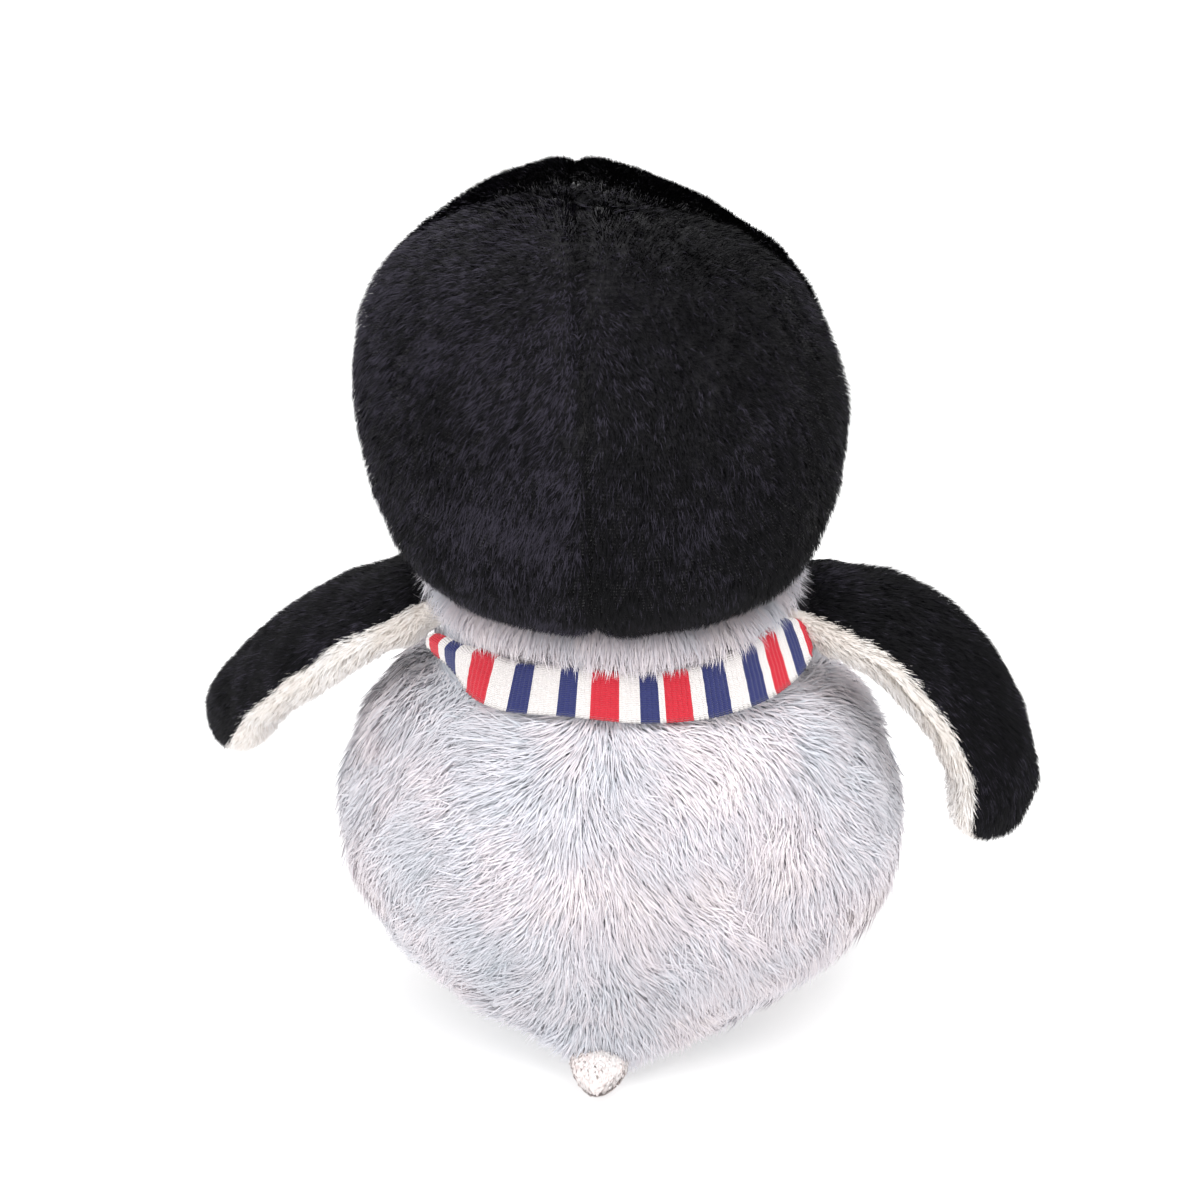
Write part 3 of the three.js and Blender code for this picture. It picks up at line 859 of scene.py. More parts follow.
class PENGUIN_OT_body(bpy.types.Operator):
    """Make the body: base, belly and two back panels with their pile, stuffing and pellet bag"""

    bl_idname = "penguin.body"
    bl_label = "Body"

    def execute(self, context):
        sewing, sizes = context.scene.penguin_sewing, context.scene.penguin_pile
        rows, cols, inset = 118, 192, 3.6
        seams = (centre_seam, belly_seam, base_seam)

        def held(p):
            near = np.min([np.abs(seam(p)) for seam in seams], axis=0)
            return (near < 4.0) | (p[..., 2] < 9) | (p[..., 2] > 108)

        push = swelled(lambda r, c: body_shape(r, c, inset), held, rows, cols, sewing.swell / MM)
        form = Form(body_shape(rows, cols, inset)).moved(push)
        form = form.moved(0.9 * noise(form.points, 30.0, 2) + 0.3 * noise(form.points, 11.0, 3))
        form = puckered(form, (centre_seam,), sewing.seam / MM * 0.5, 4.5)
        form = puckered(form, (belly_seam,), sewing.seam / MM, 5.0)
        for seam in seams:
            form = snapped(form, seam, 1.3)
        form.points[..., 2] = np.clip(form.points[..., 2], 0.4, 138.6)
        base = ~sides_of(form, base_seam)
        belly = ~sides_of(form, belly_seam) & ~base
        left = sides_of(form, centre_seam)
        neck_hole = np.hypot(form.centres()[..., 0] - NECK[0], form.centres()[..., 1]) < 20
        whole = ~(neck_hole & (form.centres()[..., 2] > 130))
        masks = {
            "base_panel": (base, "cream_plush", "cream"),
            "belly_panel": (belly, "cream_plush", "cream"),
            "back_panel_left": (left & ~base & ~belly & whole, "grey_plush", "grey"),
            "back_panel_right": (~left & ~base & ~belly & whole, "grey_plush", "grey"),
        }
        for node, (keep, slot, colour) in masks.items():
            cover = walled(form.mesh(f"{node}_cover", [backing(colour)], keep), sewing.cloth / MM)
            dressed(cover, "torso", slot, node, fill=0.85)

        def trim(root):
            band = np.abs(scarf_height(root))
            rise = 8.0 * smooth(np.abs(root[:, 0]), 28, 54) * (root[:, 1] > 0)
            band = np.minimum(band, np.abs(scarf_height(root) - rise))
            share = smooth(band, 4.5, 9.5)
            share = share * mix(1.0, 0.7, smooth(root[:, 2], 122, 132))
            hole = np.hypot(root[:, 0] - NECK[0], root[:, 1])
            share = np.where((root[:, 2] > 130) & (hole < 30), 0.0, share)
            return share * mix(0.45, 1.0, smooth(root[:, 2], 2, 22))

        def tint(root):
            # Darker along the centre seam behind: painted shade in the seam's crease.
            seam = -0.14 * np.exp(-((root[:, 0] / 3.0) ** 2)) * (root[:, 1] > 0)
            dimple = 0.35 * np.exp(-(root[:, 0] ** 2 + (root[:, 2] - 33) ** 2) / 14)
            return seam + dimple * (root[:, 1] > 0) + 0.05

        length = sizes.body / MM
        for side, keep, seed in (("left", masks["back_panel_left"][0], 3),
                                 ("right", masks["back_panel_right"][0], 4)):
            coat = Coat(64000, length, 0.56, grey_pile(), lean=(30, 4), wander=1.0, stray=0.34,
                        tuft=3.0, pull=0.26, patch=26.0, grain=0.14, lift=0.0, seed=seed)
            grow(f"back_{side}_pile", "torso", form.cloth(keep), coat, body_nap,
                 trim, tint, floor=0.5, amount=sizes.fullness)
        coat = Coat(20000, sizes.cream / MM, 0.46, cream_pile(), lean=(50, 15), tuft=3.0, seed=5)
        grow("belly_pile", "torso", form.cloth(belly), coat,
             lambda root, out: np.array([0.0, 0.0, -1.0]) + 0 * root, floor=0.5, amount=sizes.fullness,
             trim=lambda root: smooth(np.abs(scarf_height(root)), 6, 9))

        filling = Form(body_shape(80, 120, inset + 3.0))
        stuffed("body_stuffing", "torso", filling, 0.8, "body_filling", 12)
        profile = [(0, 21), (12, 21), (26, 20), (34, 15), (35, 9), (30, 4.4), (15, 3.9), (0, 3.9)]
        bag = self.bag(evenly(profile, 40))
        made = bag.mesh("pellet_bag_sewn", [finish_of("pellet_cloth", pellet_cloth)])
        dressed(made, "torso", "pellet_cloth", "pellet_bag", fill=0.7)
        return {"FINISHED"}

    def bag(self, side):
        """The pellet bag: a turned pouch whose radius ripples with the pellets' weight."""
        turn = np.arange(72) * (2 * math.pi / 72)
        ripple = 1 + 0.012 * np.sin(9 * turn) * (side[:, :1] / 35) ** 2
        x = side[:, :1] * np.cos(turn) * ripple
        y = side[:, :1] * np.sin(turn) * BODY_DEPTH * ripple
        form = Form(np.stack([x, y, side[:, 1:] + 0 * turn], axis=-1))
        return form.moved(-0.4 + 0.35 * noise(form.points, 4.0, 51))


# ---------------------------------------------------------------- neck


class Ring(Form):
    """A form that is closed both ways: rows run round its section, columns round the ring."""

    def __init__(self, points):
        self.points = np.array(points, float)
        across = np.roll(self.points, -1, axis=1) - np.roll(self.points, 1, axis=1)
        down = np.roll(self.points, -1, axis=0) - np.roll(self.points, 1, axis=0)
        self.normals = unit(np.cross(down, across))

    def cells(self):
        rows, cols = self.points.shape[:2]
        at = np.arange(rows * cols).reshape(rows, cols)
        below, beside = np.roll(at, -1, axis=0), np.roll(at, -1, axis=1)
        return np.stack([at, below, np.roll(below, -1, axis=1), beside], axis=-1)

    def mesh(self, name, materials, keep=None, picks=None, uv=None):
        """The whole ring as a mesh."""
        cells = self.cells().reshape(-1, 4)
        return make_mesh(name, self.points.reshape(-1, 3), [cells], materials, picks, uv=uv)


RUFF_OUT, RUFF_Z = 37.0, 143.0


def ruff_shape(rows, cols):
    """A padded ring round the neck: an oval section carried round a slightly flattened circle."""
    turn = np.arange(cols) * (2 * math.pi / cols)
    angle = -np.arange(rows)[:, None] * (2 * math.pi / rows)
    ripple = 1 + 0.03 * np.sin(11 * turn) + 0.02 * np.sin(17 * turn + 1)
    out = RUFF_OUT + 6.2 * np.cos(angle) * ripple
    up = RUFF_Z + 3.0 * np.sin(angle) + 0.3 * np.sin(7 * turn)
    return np.stack([1.14 * out * np.cos(turn) + 1.5, out * np.sin(turn) * 0.92, up + 0 * out], axis=-1)


class PENGUIN_OT_neck(bpy.types.Operator):
    """Make the neck: its stuffed ball and the ruff of grey pile that closes the gap under the head"""

    bl_idname = "penguin.neck"
    bl_label = "Neck"

    def execute(self, context):
        sizes = context.scene.penguin_pile
        lows, highs = corners_of("neck_filling")
        radius = (highs[0] - lows[0]) / 2
        x, top, bottom = (highs[0] + lows[0]) / 2, highs[2], lows[2]
        knots = [(0, top), (radius * 0.55, top - 4), (radius * 0.93, top - 14.5), (radius, top - 23),
                 (radius * 0.86, 139), (17.6, 134), (17.6, 125), (16.5, bottom + 1), (9, bottom), (0, bottom)]
        side = evenly(knots, 44)
        turn = np.arange(64) * (2 * math.pi / 64)
        form = Form(np.stack([x + side[:, :1] * np.cos(turn), side[:, :1] * np.sin(turn),
                              side[:, 1:] + 0 * turn], axis=-1))
        stuffed("neck_stuffing", "neck", form, 0.9, "neck_filling", 15)
        ring = Ring(ruff_shape(20, 120))
        cover = ring.mesh("ruff_cover", [backing("grey")])
        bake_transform(cover)
        dressed_blend(cover, "grey_plush", "neck_ruff")
        cells = ring.cells().reshape(-1, 4)
        cloth = ring.points.reshape(-1, 3)[cells], ring.normals.reshape(-1, 3)[cells]
        outer = (cloth[1].mean(axis=1) * unit(cloth[0].mean(axis=1) * [1, 1, 0])).sum(axis=-1) > -0.1
        coat = Coat(32000, 14.5, 0.4, grey_pile(), lean=(36, -22), wander=0.7, stray=0.36,
                    tuft=2.8, pull=0.3, patch=14.0, grain=0.2, lift=0.15, seed=8)
        pile = grow("ruff_pile", None, (cloth[0][outer], cloth[1][outer]), coat,
                    lambda root, out: np.stack(
                        [0.25 * root[:, 0] / 40, 0.25 * root[:, 1] / 40, -1.0 + 0 * root[:, 0]], axis=-1),
                    tint=lambda root: 0.04 + 0 * root[:, 0], amount=sizes.fullness)
        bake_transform(pile)
        return {"FINISHED"}


def dressed_blend(made, slot, *nodes):
    """Hides the nodes that a piece stands for; its slot is not used."""
    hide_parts(*nodes)
    return made


# ---------------------------------------------------------------- head


def head_shape(rows, cols, inset):
    """The head: a ball scaled to the hood, leaning to its left above, fuller low down behind."""
    p = HEAD_CENTRE + ball(rows, cols) * (HEAD_RADII - inset)
    level = hood_level(p)
    p[..., 0] = HEAD_X + (p[..., 0] - HEAD_X) * by_level(level, 1) + by_level(level, 2)
    p[..., 1] += 7.0 * smooth(HEAD_Z - p[..., 2], 14, 48) * smooth(p[..., 1], 2, 30)
    p[..., 1] -= 0.65 * inset * smooth(-p[..., 1], 8, 40)
    return p


# The hood's warp: for each level, its stretch sideways and its shift to the left.
HOOD_WARP = np.array([
    (-68, 1.22, -2.0), (-52, 1.19, -2.2), (-36, 1.07, -2.6), (-18, 1.01, -1.2), (0, 1.0, 0.2),
    (17, 0.995, 2.4), (35, 1.01, 3.6), (44, 0.965, 3.8), (53, 0.835, 6.2), (62, 0.70, 9.6), (70, 0.56, 9.8)])


def hood_level(p):
    """How high a point of the head stands square to a line that slopes down behind by 29 degrees."""
    return 0.875 * (p[..., 2] - HEAD_Z) - 0.485 * p[..., 1]


def by_level(level, column):
    """The head's stretch sideways, 1, or its shift to the left, 2, at a level."""
    return np.interp(level, HOOD_WARP[:, 0], HOOD_WARP[:, column])


def hood_centre_seam(p):
    """The hood's centre seam: how far a point is to the left of the head's leaning middle."""
    return p[..., 0] - HEAD_X - by_level(hood_level(p), 2)


def crown_seam(p):
    """The seam over the crown: how far a point is behind two lines swept forward by 20 degrees."""
    return (p[..., 1] - 8 + math.tan(math.radians(20)) * np.abs(p[..., 0] - HEAD_X)) * 0.94


def face_seam(p):
    """The face's seam: how far a point in front is outside a round oval."""
    ring = (np.hypot((p[..., 0] - HEAD_X) / 50, (p[..., 2] - 192) / 42) - 1) * 42
    return np.where(p[..., 1] < -20, ring, 40.0)


def hood_nap(root, out):
    """Backwards over the crown and down behind, a little away from the centre seam."""
    back = crown_seam(root) > 0
    left = root[:, 0] > HEAD_X
    aside = np.where(left, 0.34, -0.10)
    rear = np.stack([aside, 0.35 + 0 * aside, -1.0 + 0 * aside], axis=-1)
    fore = np.stack([aside * 0.6, 0.9 + 0 * aside, 0.1 + 0 * aside], axis=-1)
    return np.where(back[:, None], rear, fore)


class PENGUIN_OT_head(bpy.types.Operator):
    """Make the head: four hood panels and the face with their pile, around the stuffing"""

    bl_idname = "penguin.head"
    bl_label = "Head"

    def execute(self, context):
        sewing, sizes = context.scene.penguin_sewing, context.scene.penguin_pile
        rows, cols, inset = 118, 200, 4.9
        seams = (hood_centre_seam, crown_seam, face_seam)

        def held(p):
            near = np.min([np.abs(seam(p)) for seam in seams], axis=0)
            return (near < 4.2) | (p[..., 2] < HEAD_BOTTOM + 6)

        push = swelled(lambda r, c: head_shape(r, c, inset), held, rows, cols, sewing.swell / MM)
        form = Form(head_shape(rows, cols, inset)).moved(push)
        form = form.moved(0.8 * noise(form.points, 26.0, 7))
        form = puckered(form, (crown_seam,), sewing.seam / MM * 0.6, 5.5)
        form = puckered(form, (hood_centre_seam, face_seam), sewing.seam / MM * 0.75, 3.4)

        def bottom(p):
            return p[..., 2] - HEAD_BOTTOM - 0.6

        for seam in (*seams, bottom):
            form = snapped(form, seam, 1.2)
        above = sides_of(form, bottom)
        face = ~sides_of(form, face_seam) & above
        hood = above & ~face
        left, back = sides_of(form, hood_centre_seam), sides_of(form, crown_seam)
        masks = {
            "head_back_left": (hood & left & back, 44000, 21),
            "head_back_right": (hood & ~left & back, 44000, 22),
            "head_front_left": (hood & left & ~back, 26000, 23),
            "head_front_right": (hood & ~left & ~back, 26000, 24),
        }

        def tint(root):
            from_seam = hood_centre_seam(root)
            # Lighter on the left hood panels: a painted highlight where the nap catches the light.
            light = 0.4 * smooth(from_seam, -1, 4) + 0.05 * smooth(from_seam, 10, 60)
            # A painted highlight on the crown, just behind its seam.
            crown = np.exp(-(((from_seam + 8) / 22) ** 2) - ((crown_seam(root) - 14) / 18) ** 2)
            # Painted shade along the centre seam and the crown seam, in their creases.
            seam_shade = 0.35 * np.exp(-((from_seam / 1.5) ** 2)) + 0.2 * np.exp(-((crown_seam(root) / 2.2) ** 2))
            return light - seam_shade + 0.3 * crown - 0.2

        def trim(root):
            share = mix(0.55, 1.0, smooth(root[:, 2], HEAD_BOTTOM, HEAD_BOTTOM + 8))
            return share * (1 - 0.45 * np.exp(-((hood_centre_seam(root) / 1.3) ** 2)))

        for node, (keep, number, seed) in masks.items():
            cover = walled(form.mesh(f"{node}_cover", [backing("black")], keep), sewing.cloth / MM)
            dressed(cover, "head", "black_plush", node, fill=0.9)
            coat = Coat(number, sizes.hood / MM, 0.26, black_pile(), lean=(58, 30), wander=0.6,
                        stray=0.4, tuft=1.9, pull=0.3, patch=24.0, grain=0.5, lift=0.6, seed=seed)
            grow(f"{node}_pile", "head", form.cloth(keep), coat, hood_nap,
                 trim=trim, tint=tint, amount=sizes.fullness)

        cover = walled(form.mesh("face_cover", [backing("cream")], face), sewing.cloth / MM)
        dressed(cover, "head", "cream_plush", "face_panel", fill=0.9)
        seats = [eye_seat(side)[0] for side in (1, -1)]

        def around_features(root):
            share = np.ones(len(root))
            for seat in seats:
                share = share * smooth(np.linalg.norm(root - seat, axis=1), 5.5, 10)
            beak = np.hypot((root[:, 0] - HEAD_X) / 13, (root[:, 2] - BEAK_Z) / 8)
            return share * smooth(beak, 0.9, 1.35) * 0.9 + 0.02

        coat = Coat(28000, sizes.cream / MM * 0.85, 0.36, cream_pile(), lean=(45, 20), tuft=2.4, seed=26)
        grow("face_pile", "head", form.cloth(face), coat,
             lambda root, out: (root - [HEAD_X, -66, BEAK_Z]) * [1, 0, 1] + [0, 0, -6.0],
             trim=around_features, amount=sizes.fullness)

        filling = Form(head_shape(70, 110, inset + 4.4))
        p = filling.points
        p[..., 2] = np.maximum(p[..., 2], HEAD_BOTTOM + 1.5)
        hollow = np.linalg.norm(p - NECK, axis=-1, keepdims=True)
        filling = Form(np.where(hollow < 25.5, NECK + (p - NECK) / np.maximum(hollow, 1e-6) * 25.5, p))
        stuffed("head_stuffing", "head", filling, 0.8, "head_filling", 28)
        return {"FINISHED"}


# ---------------------------------------------------------------- eyes and beak


BEAK_Z = middle("beak_upper", "beak_lower")[0][2]


def eye_seat(side):
    """Where an eye sits on the head, and the way it looks: 21 degrees aside and 10 up."""
    turn, lift = math.radians(21) * side, math.radians(10)
    out = np.array([math.sin(turn) * math.cos(lift), -math.cos(turn) * math.cos(lift), math.sin(lift)])
    reach = 1 / np.linalg.norm(out / HEAD_RADII)
    return HEAD_CENTRE + out * reach, out


def turned_about(profile, seat, out, cols):
    """A profile of radius and height turned about the line through a seat."""
    aside = unit(np.cross(out, [0, 0, 1.0]))
    up = np.cross(aside, out)
    turn = -np.arange(cols) * (2 * math.pi / cols)
    round_it = np.cos(turn)[None, :, None] * aside + np.sin(turn)[None, :, None] * up
    return Form(seat + profile[:, :1, None] * round_it + profile[:, 1:, None] * out)


def faced_out(form):
    """The form with its columns reversed if its faces point inwards."""
    middle_point = form.points.reshape(-1, 3).mean(axis=0)
    if np.sum(dot(form.normals, form.points - middle_point)) < 0:
        return Form(form.points[:, ::-1])
    return form


class PENGUIN_OT_eyes(bpy.types.Operator):
    """Make the two shanked plastic eyes, and finish the washers that hold them"""

    bl_idname = "penguin.eyes"
    bl_label = "Eyes"

    def execute(self, context):
        for name, side in (("left", 1), ("right", -1)):
            seat, out = eye_seat(side)
            seat = seat - 1.5 * out
            arc = np.radians(np.linspace(0, 90, 12))
            dome = [(6.5 * math.cos(a), 0.9 + 4.3 * math.sin(a)) for a in arc]
            dome[-1] = (0, dome[-1][1])
            rim = [(1.6, 0.2), (4.0, 0.1), (6.0, 0.15), (6.45, 0.5)]
            profile = np.array([(0, -8.9), (1.3, -8.9), (1.6, -8.4), (1.6, -4), *rim, *dome], float)
            form = faced_out(turned_about(profile, seat, out, 48))
            made = form.mesh(f"eye_{name}_dome", [finish_of("eye", eye_plastic)])
            dressed(made, "head", "eye_plastic", f"eye_{name}")
            washer = frame["nodes"][f"eye_washer_{name}"]
            washer.data.materials.clear()
            washer.data.materials.append(finish_of("washer", washer_plastic))
        return {"FINISHED"}


def beak_shape(rows, cols, inset):
    """The beak: a ball drawn to a blunt point in front, stopped at the face."""
    way = ball(rows, cols)
    p = np.array([HEAD_X, -66.0, BEAK_Z]) + way * (np.array([13, 21, 8]) - inset)
    ahead = smooth(-p[..., 1], 66, 90)
    p[..., 0] = HEAD_X + (p[..., 0] - HEAD_X) * (1 - 0.18 * ahead)
    p[..., 2] = BEAK_Z + (p[..., 2] - BEAK_Z) * (1 - 0.1 * ahead) - 1.2 * ahead
    away = (p - HEAD_CENTRE) / (HEAD_RADII + 0.3)
    room = np.maximum(1 - away[..., 0] ** 2 - away[..., 2] ** 2, 0)
    p[..., 1] = np.minimum(p[..., 1], -(HEAD_RADII[1] + 0.3 + inset) * np.sqrt(room))
    return p


class PENGUIN_OT_beak(bpy.types.Operator):
    """Make the beak: an upper and a lower half of short velour around its stuffing"""

    bl_idname = "penguin.beak"
    bl_label = "Beak"

    def execute(self, context):
        def level(p):
            return p[..., 2] - BEAK_Z + 0.9 * smooth(-p[..., 1], 66, 90)

        form = puckered(Form(beak_shape(48, 72, 0.8)), (level,), 0.7, 1.3)
        upper = sides_of(form, level)
        for name, keep, seed in (("upper", upper, 31), ("lower", ~upper, 32)):
            cover = walled(form.mesh(f"beak_{name}_cover", [backing("orange")], keep), 0.6)
            dressed(cover, "head", "orange_plush", f"beak_{name}", fill=0.9)
            coat = Coat(7000, 1.5, 0.25, orange_pile(), lean=(55, 30), tuft=1.2, pull=0.2,
                        patch=7.0, grain=0.5, seed=seed)
            grow(f"beak_{name}_pile", "head", form.cloth(keep), coat,
                 lambda root, out: np.array([0.0, -1.0, -0.2]) + 0 * root,
                 amount=context.scene.penguin_pile.fullness)
        stuffed("beak_stuffing", "head", Form(beak_shape(32, 48, 2.4)), 0.2, "beak_filling", 33)
        return {"FINISHED"}


# ---------------------------------------------------------------- flippers


# Each flipper's side, its droop and curl in degrees, its sweep forward in mm and its twist in degrees.
FLIPPERS = {"left": (1, 25, 45, 40, 20), "right": (-1, 8, 87, 0, 45)}
ROOT_LENGTH, FIN_LENGTH = 7.5, 112.0


def flipper_shape(which, rows, cols, inset):
    """A padded flipper: an oval section carried along an arc from the shoulder.

    The arc starts drooping and curls; the section turns about it and sweeps forward as the
    square of its way along. Half width and half thickness are rounded off at both ends as
    a quarter circle is. The outer side has a hump over the root, a bell along the arc.
    """
    side, droop, curl, sweep, twist = FLIPPERS[which]
    whole = ROOT_LENGTH + FIN_LENGTH
    way = (1 - np.cos(np.linspace(0, math.pi, rows))) / 2
    way = mix(np.linspace(0, 1, rows), way, 0.6)[:, None]
    u = inset + (whole - 2 * inset) * way
    t = np.clip((u - ROOT_LENGTH) / FIN_LENGTH, 0, 1)
    width = mix(17.5, 18.0, t**2) + np.sin(math.pi * np.minimum(t * 1.35, 1)) * 4 - inset
    thick = mix(7.4, 7.0, t) - inset
    near, far = np.clip((u - inset) / ROOT_LENGTH, 0, 1), np.clip((whole - inset - u) / 16, 0, 1)
    ends = np.sqrt(1 - (1 - near) ** 2) * np.sqrt(1 - (1 - far) ** 2)
    turn = side * np.arange(cols) * (2 * math.pi / cols) + math.pi / 2
    hump = 1 + 0.9 * np.exp(-(((u - ROOT_LENGTH - 3) / 13) ** 2)) * (np.cos(turn) > 0)
    across, through = width * ends * np.sin(turn), thick * ends * hump * np.cos(turn)
    s = u - ROOT_LENGTH
    bend, start = math.radians(curl) / FIN_LENGTH, math.radians(droop)
    heading = start + bend * np.maximum(s, 0)
    x = np.where(s < 0, s * math.cos(start), (np.sin(heading) - math.sin(start)) / bend)
    z = np.where(s < 0, -s * math.sin(start), (np.cos(heading) - math.cos(start)) / bend)
    along = np.maximum(s, 0) / FIN_LENGTH
    roll = math.radians(twist) * along
    lift = through * np.cos(roll) - across * np.sin(roll)
    back = across * np.cos(roll) + through * np.sin(roll) - sweep * along**2
    proud = smooth(along, 0.0, 0.3)
    reach = SHOULDER[0] + x + lift * np.sin(heading) + (3.5 + side * 2 * along) * proud
    height = SHOULDER[2] + z + lift * np.cos(heading) + 3.0 * proud
    return np.stack([side * reach, back, height], axis=-1)


class PENGUIN_OT_flippers(bpy.types.Operator):
    """Make both flippers: black outer and cream inner covers with their pile, around the stuffing"""

    bl_idname = "penguin.flippers"
    bl_label = "Flippers"

    def execute(self, context):
        for number, name in enumerate(FLIPPERS):
            self.flipper(context, name, 40 + 10 * number)
        return {"FINISHED"}

    def flipper(self, context, name, seed):
        """One flipper; the cream cover rolls over the rear edge, so its seam shows from behind."""
        sewing, sizes = context.scene.penguin_sewing, context.scene.penguin_pile
        rows, cols, inset, body = 96, 64, 1.4, f"{name}_flipper"
        side, roll_back = FLIPPERS[name][0], 6 * 2 * math.pi / cols

        def round_section(count, offset=0.0):
            """The turn round the section of each line, from the rear edge over the outer side."""
            turn = -side * (np.arange(count) + offset) * 2 * math.pi / count
            return (turn + math.pi) % (2 * math.pi) - math.pi

        def from_seam(count):
            turn = round_section(count)
            return np.minimum(np.abs(turn - roll_back), math.pi - np.abs(turn))

        def held(p):
            ends = np.arange(p.shape[0]) < 3
            return (from_seam(p.shape[1]) < 0.11)[None, :] | ends[:, None]

        push = swelled(lambda r, c: flipper_shape(name, r, c, inset), held, rows, cols, 1.6)
        points = flipper_shape(name, rows, cols, inset)
        form = Form(points).moved(push)
        gather = 0.8 * np.exp(-((from_seam(cols) / 0.16) ** 2)) * (1 + 0.5 * noise(form.points, 4.0, seed))
        form = form.moved(0.5 * noise(form.points, 14.0, seed + 1) - gather)
        outer = np.broadcast_to(round_section(cols, 0.5) > roll_back, (rows - 1, cols))
        course = points.mean(axis=1)

        def nap(root, out):
            """Along the flipper towards its tip, read off its middle line."""
            ahead = np.gradient(course, axis=0)
            row = np.argmin(np.linalg.norm(root[::1, None] - course[None, ::6], axis=-1), axis=1) * 6
            return unit(ahead[np.minimum(row, len(course) - 1)]) + 0.25 * np.array([0, 0, -1.0])


        def trim(root):
            return smooth(np.abs(root[:, 0]), SHOULDER[0] + 4, SHOULDER[0] + 13)

        def darker(root):
            return -0.1 + 0 * root[:, 0]

        for kind, keep, slot, colour, shades, length, count in (
            ("outer", outer, "black_plush", "black", black_pile(), sizes.flipper / MM, 36000),
            ("inner", ~outer, "cream_plush", "cream", cream_pile(), sizes.cream / MM, 20000),
        ):
            cover = walled(form.mesh(f"{body}_{kind}_cover", [backing(colour)], keep), sewing.cloth / MM)
            dressed(cover, body, slot, f"{body}_{kind}", fill=0.75)
            black = kind == "outer"
            coat = Coat(count, length, 0.28, shades, lean=(52, 24), wander=0.45, stray=0.3, tuft=2.0,
                        pull=0.3, patch=20.0, grain=0.5 if black else 0.3,
                        lift=0.6 if black else 0.4, seed=seed + (2 if black else 3))
            tint = darker if black else None
            grow(f"{body}_{kind}_pile", body, form.cloth(keep), coat, nap, trim, tint,
                 amount=sizes.fullness)
        inner_form = Form(flipper_shape(name, 60, 40, inset + 1.9))
        stuffed(f"{body}_stuffing", body, inner_form, 0.2, f"{body}_filling", seed + 5)


# ---------------------------------------------------------------- feet and tail


def clear_of_body(p, gap, way):
    """Points moved forwards or back, whichever way says, until they are a gap clear of the body."""
    reach = body_radius(p[..., 2]) + gap
    room = np.sqrt(np.maximum(reach**2 - p[..., 0] ** 2, 0)) * BODY_DEPTH
    return way * np.maximum(way * p[..., 1], room)


def foot_shape(side, rows, cols, inset):
    """A foot: a flat ball with three toes, its front radius swelling at each toe."""
    way = ball(rows, cols)
    turn = np.arctan2(way[..., 0], -way[..., 1])
    toes = 1 + 0.06 * np.cos(turn * 3.6) * smooth(-way[..., 1], 0.2, 0.7)
    middle_point = np.array([31.0 * side, -67.0, 7.4])
    p = middle_point + way * (np.array([20, 27, 7.4]) - inset)
    p[..., :2] = mix(middle_point[:2], p[..., :2], toes[..., None] - 0.03)
    p[..., 1] = clear_of_body(p, inset - 1.0, -1)
    p[..., 2] = np.maximum(p[..., 2], 0.3 + inset * 0.6)
    return p


def tail_shape(rows, cols, inset):
    """The tail: a small flat ball, narrower towards its tip."""
    way = ball(rows, cols)
    p = np.array([-3.0, 59.5, 9.0]) + way * (np.array([12, 14.5, 6.0]) - inset)
    p[..., 0] = 1 + (p[..., 0] + 3) * (0.75 - 0.25 * smooth(p[..., 1], 58, 77))
    p[..., 1] = clear_of_body(p, 2.9 + inset, 1)
    return p


def sewn_pad(parts, body, form, level, inner, seeds, context):
    """A pad of two covers that meet at a level seam, each with its own pile, around stuffing."""

    def seam(p):
        return p[..., 2] - level

    form = puckered(form, (seam,), 0.7, 1.4)
    upper = sides_of(form, seam)
    for (node, slot, colour, shades, length, nap), keep, seed in zip(parts, (upper, ~upper), seeds):
        cover = walled(form.mesh(f"{node}_cover", [backing(colour)], keep), 0.7)
        dressed(cover, body, slot, node, fill=0.8)
        coat = Coat(7000, length, 0.6, shades, lean=(32, 8), tuft=1.8, pull=0.3, patch=9.0,
                    grain=0.3, lift=0.1, seed=seed)
        grow(f"{node}_pile", body, form.cloth(keep), coat,
             lambda root, out: np.array(nap) + 0 * root, floor=0.4,
             amount=context.scene.penguin_pile.fullness)
    stuffed(f"{body}_stuffing", body, inner, 0.2, f"{body}_filling", seeds[0] + 3)


class PENGUIN_OT_feet(bpy.types.Operator):
    """Make the two feet: velour uppers and soles around their stuffing"""

    bl_idname = "penguin.feet"
    bl_label = "Feet"

    def execute(self, context):
        for name, side, seed in (("left", 1, 61), ("right", -1, 65)):
            parts = [
                (f"{name}_foot_upper", "orange_plush", "orange", orange_pile(), 3.0, (0.0, -1.0, 0.0)),
                (f"{name}_foot_sole", "orange_plush", "orange", orange_pile(), 1.8, (0.0, -1.0, 0.0)),
            ]
            form, inner = Form(foot_shape(side, 40, 84, 1.0)), Form(foot_shape(side, 28, 48, 2.6))
            sewn_pad(parts, f"{name}_foot", form, 7.4, inner, (seed, seed + 1), context)
        return {"FINISHED"}


class PENGUIN_OT_tail(bpy.types.Operator):
    """Make the tail: a small pink-white pad"""

    bl_idname = "penguin.tail"
    bl_label = "Tail"

    def execute(self, context):
        parts = [
            ("tail_upper", "grey_plush", "cream", pink_pile(), 3.2, (0.0, 1.0, -0.1)),
            ("tail_under", "cream_plush", "cream", pink_pile(), 2.4, (0.0, 1.0, 0.1)),
        ]
        form, inner = Form(tail_shape(36, 64, 1.3)), Form(tail_shape(24, 40, 2.9))
        sewn_pad(parts, "tail", form, 9.0, inner, (71, 72), context)
        return {"FINISHED"}


# ---------------------------------------------------------------- scarf


KNOT_MIDDLE, KNOT_HALF = np.array([0, -60.0, 111.0]), np.array([13.2, 8.2, 9.2])
# Where each hanging end starts, out from the middle, forwards and up, then its width and length.
END_OUT, END_FRONT, END_TOP, END_WIDTH, END_LENGTH = 17.0, -69.5, 99.6, 13.4, 49.0
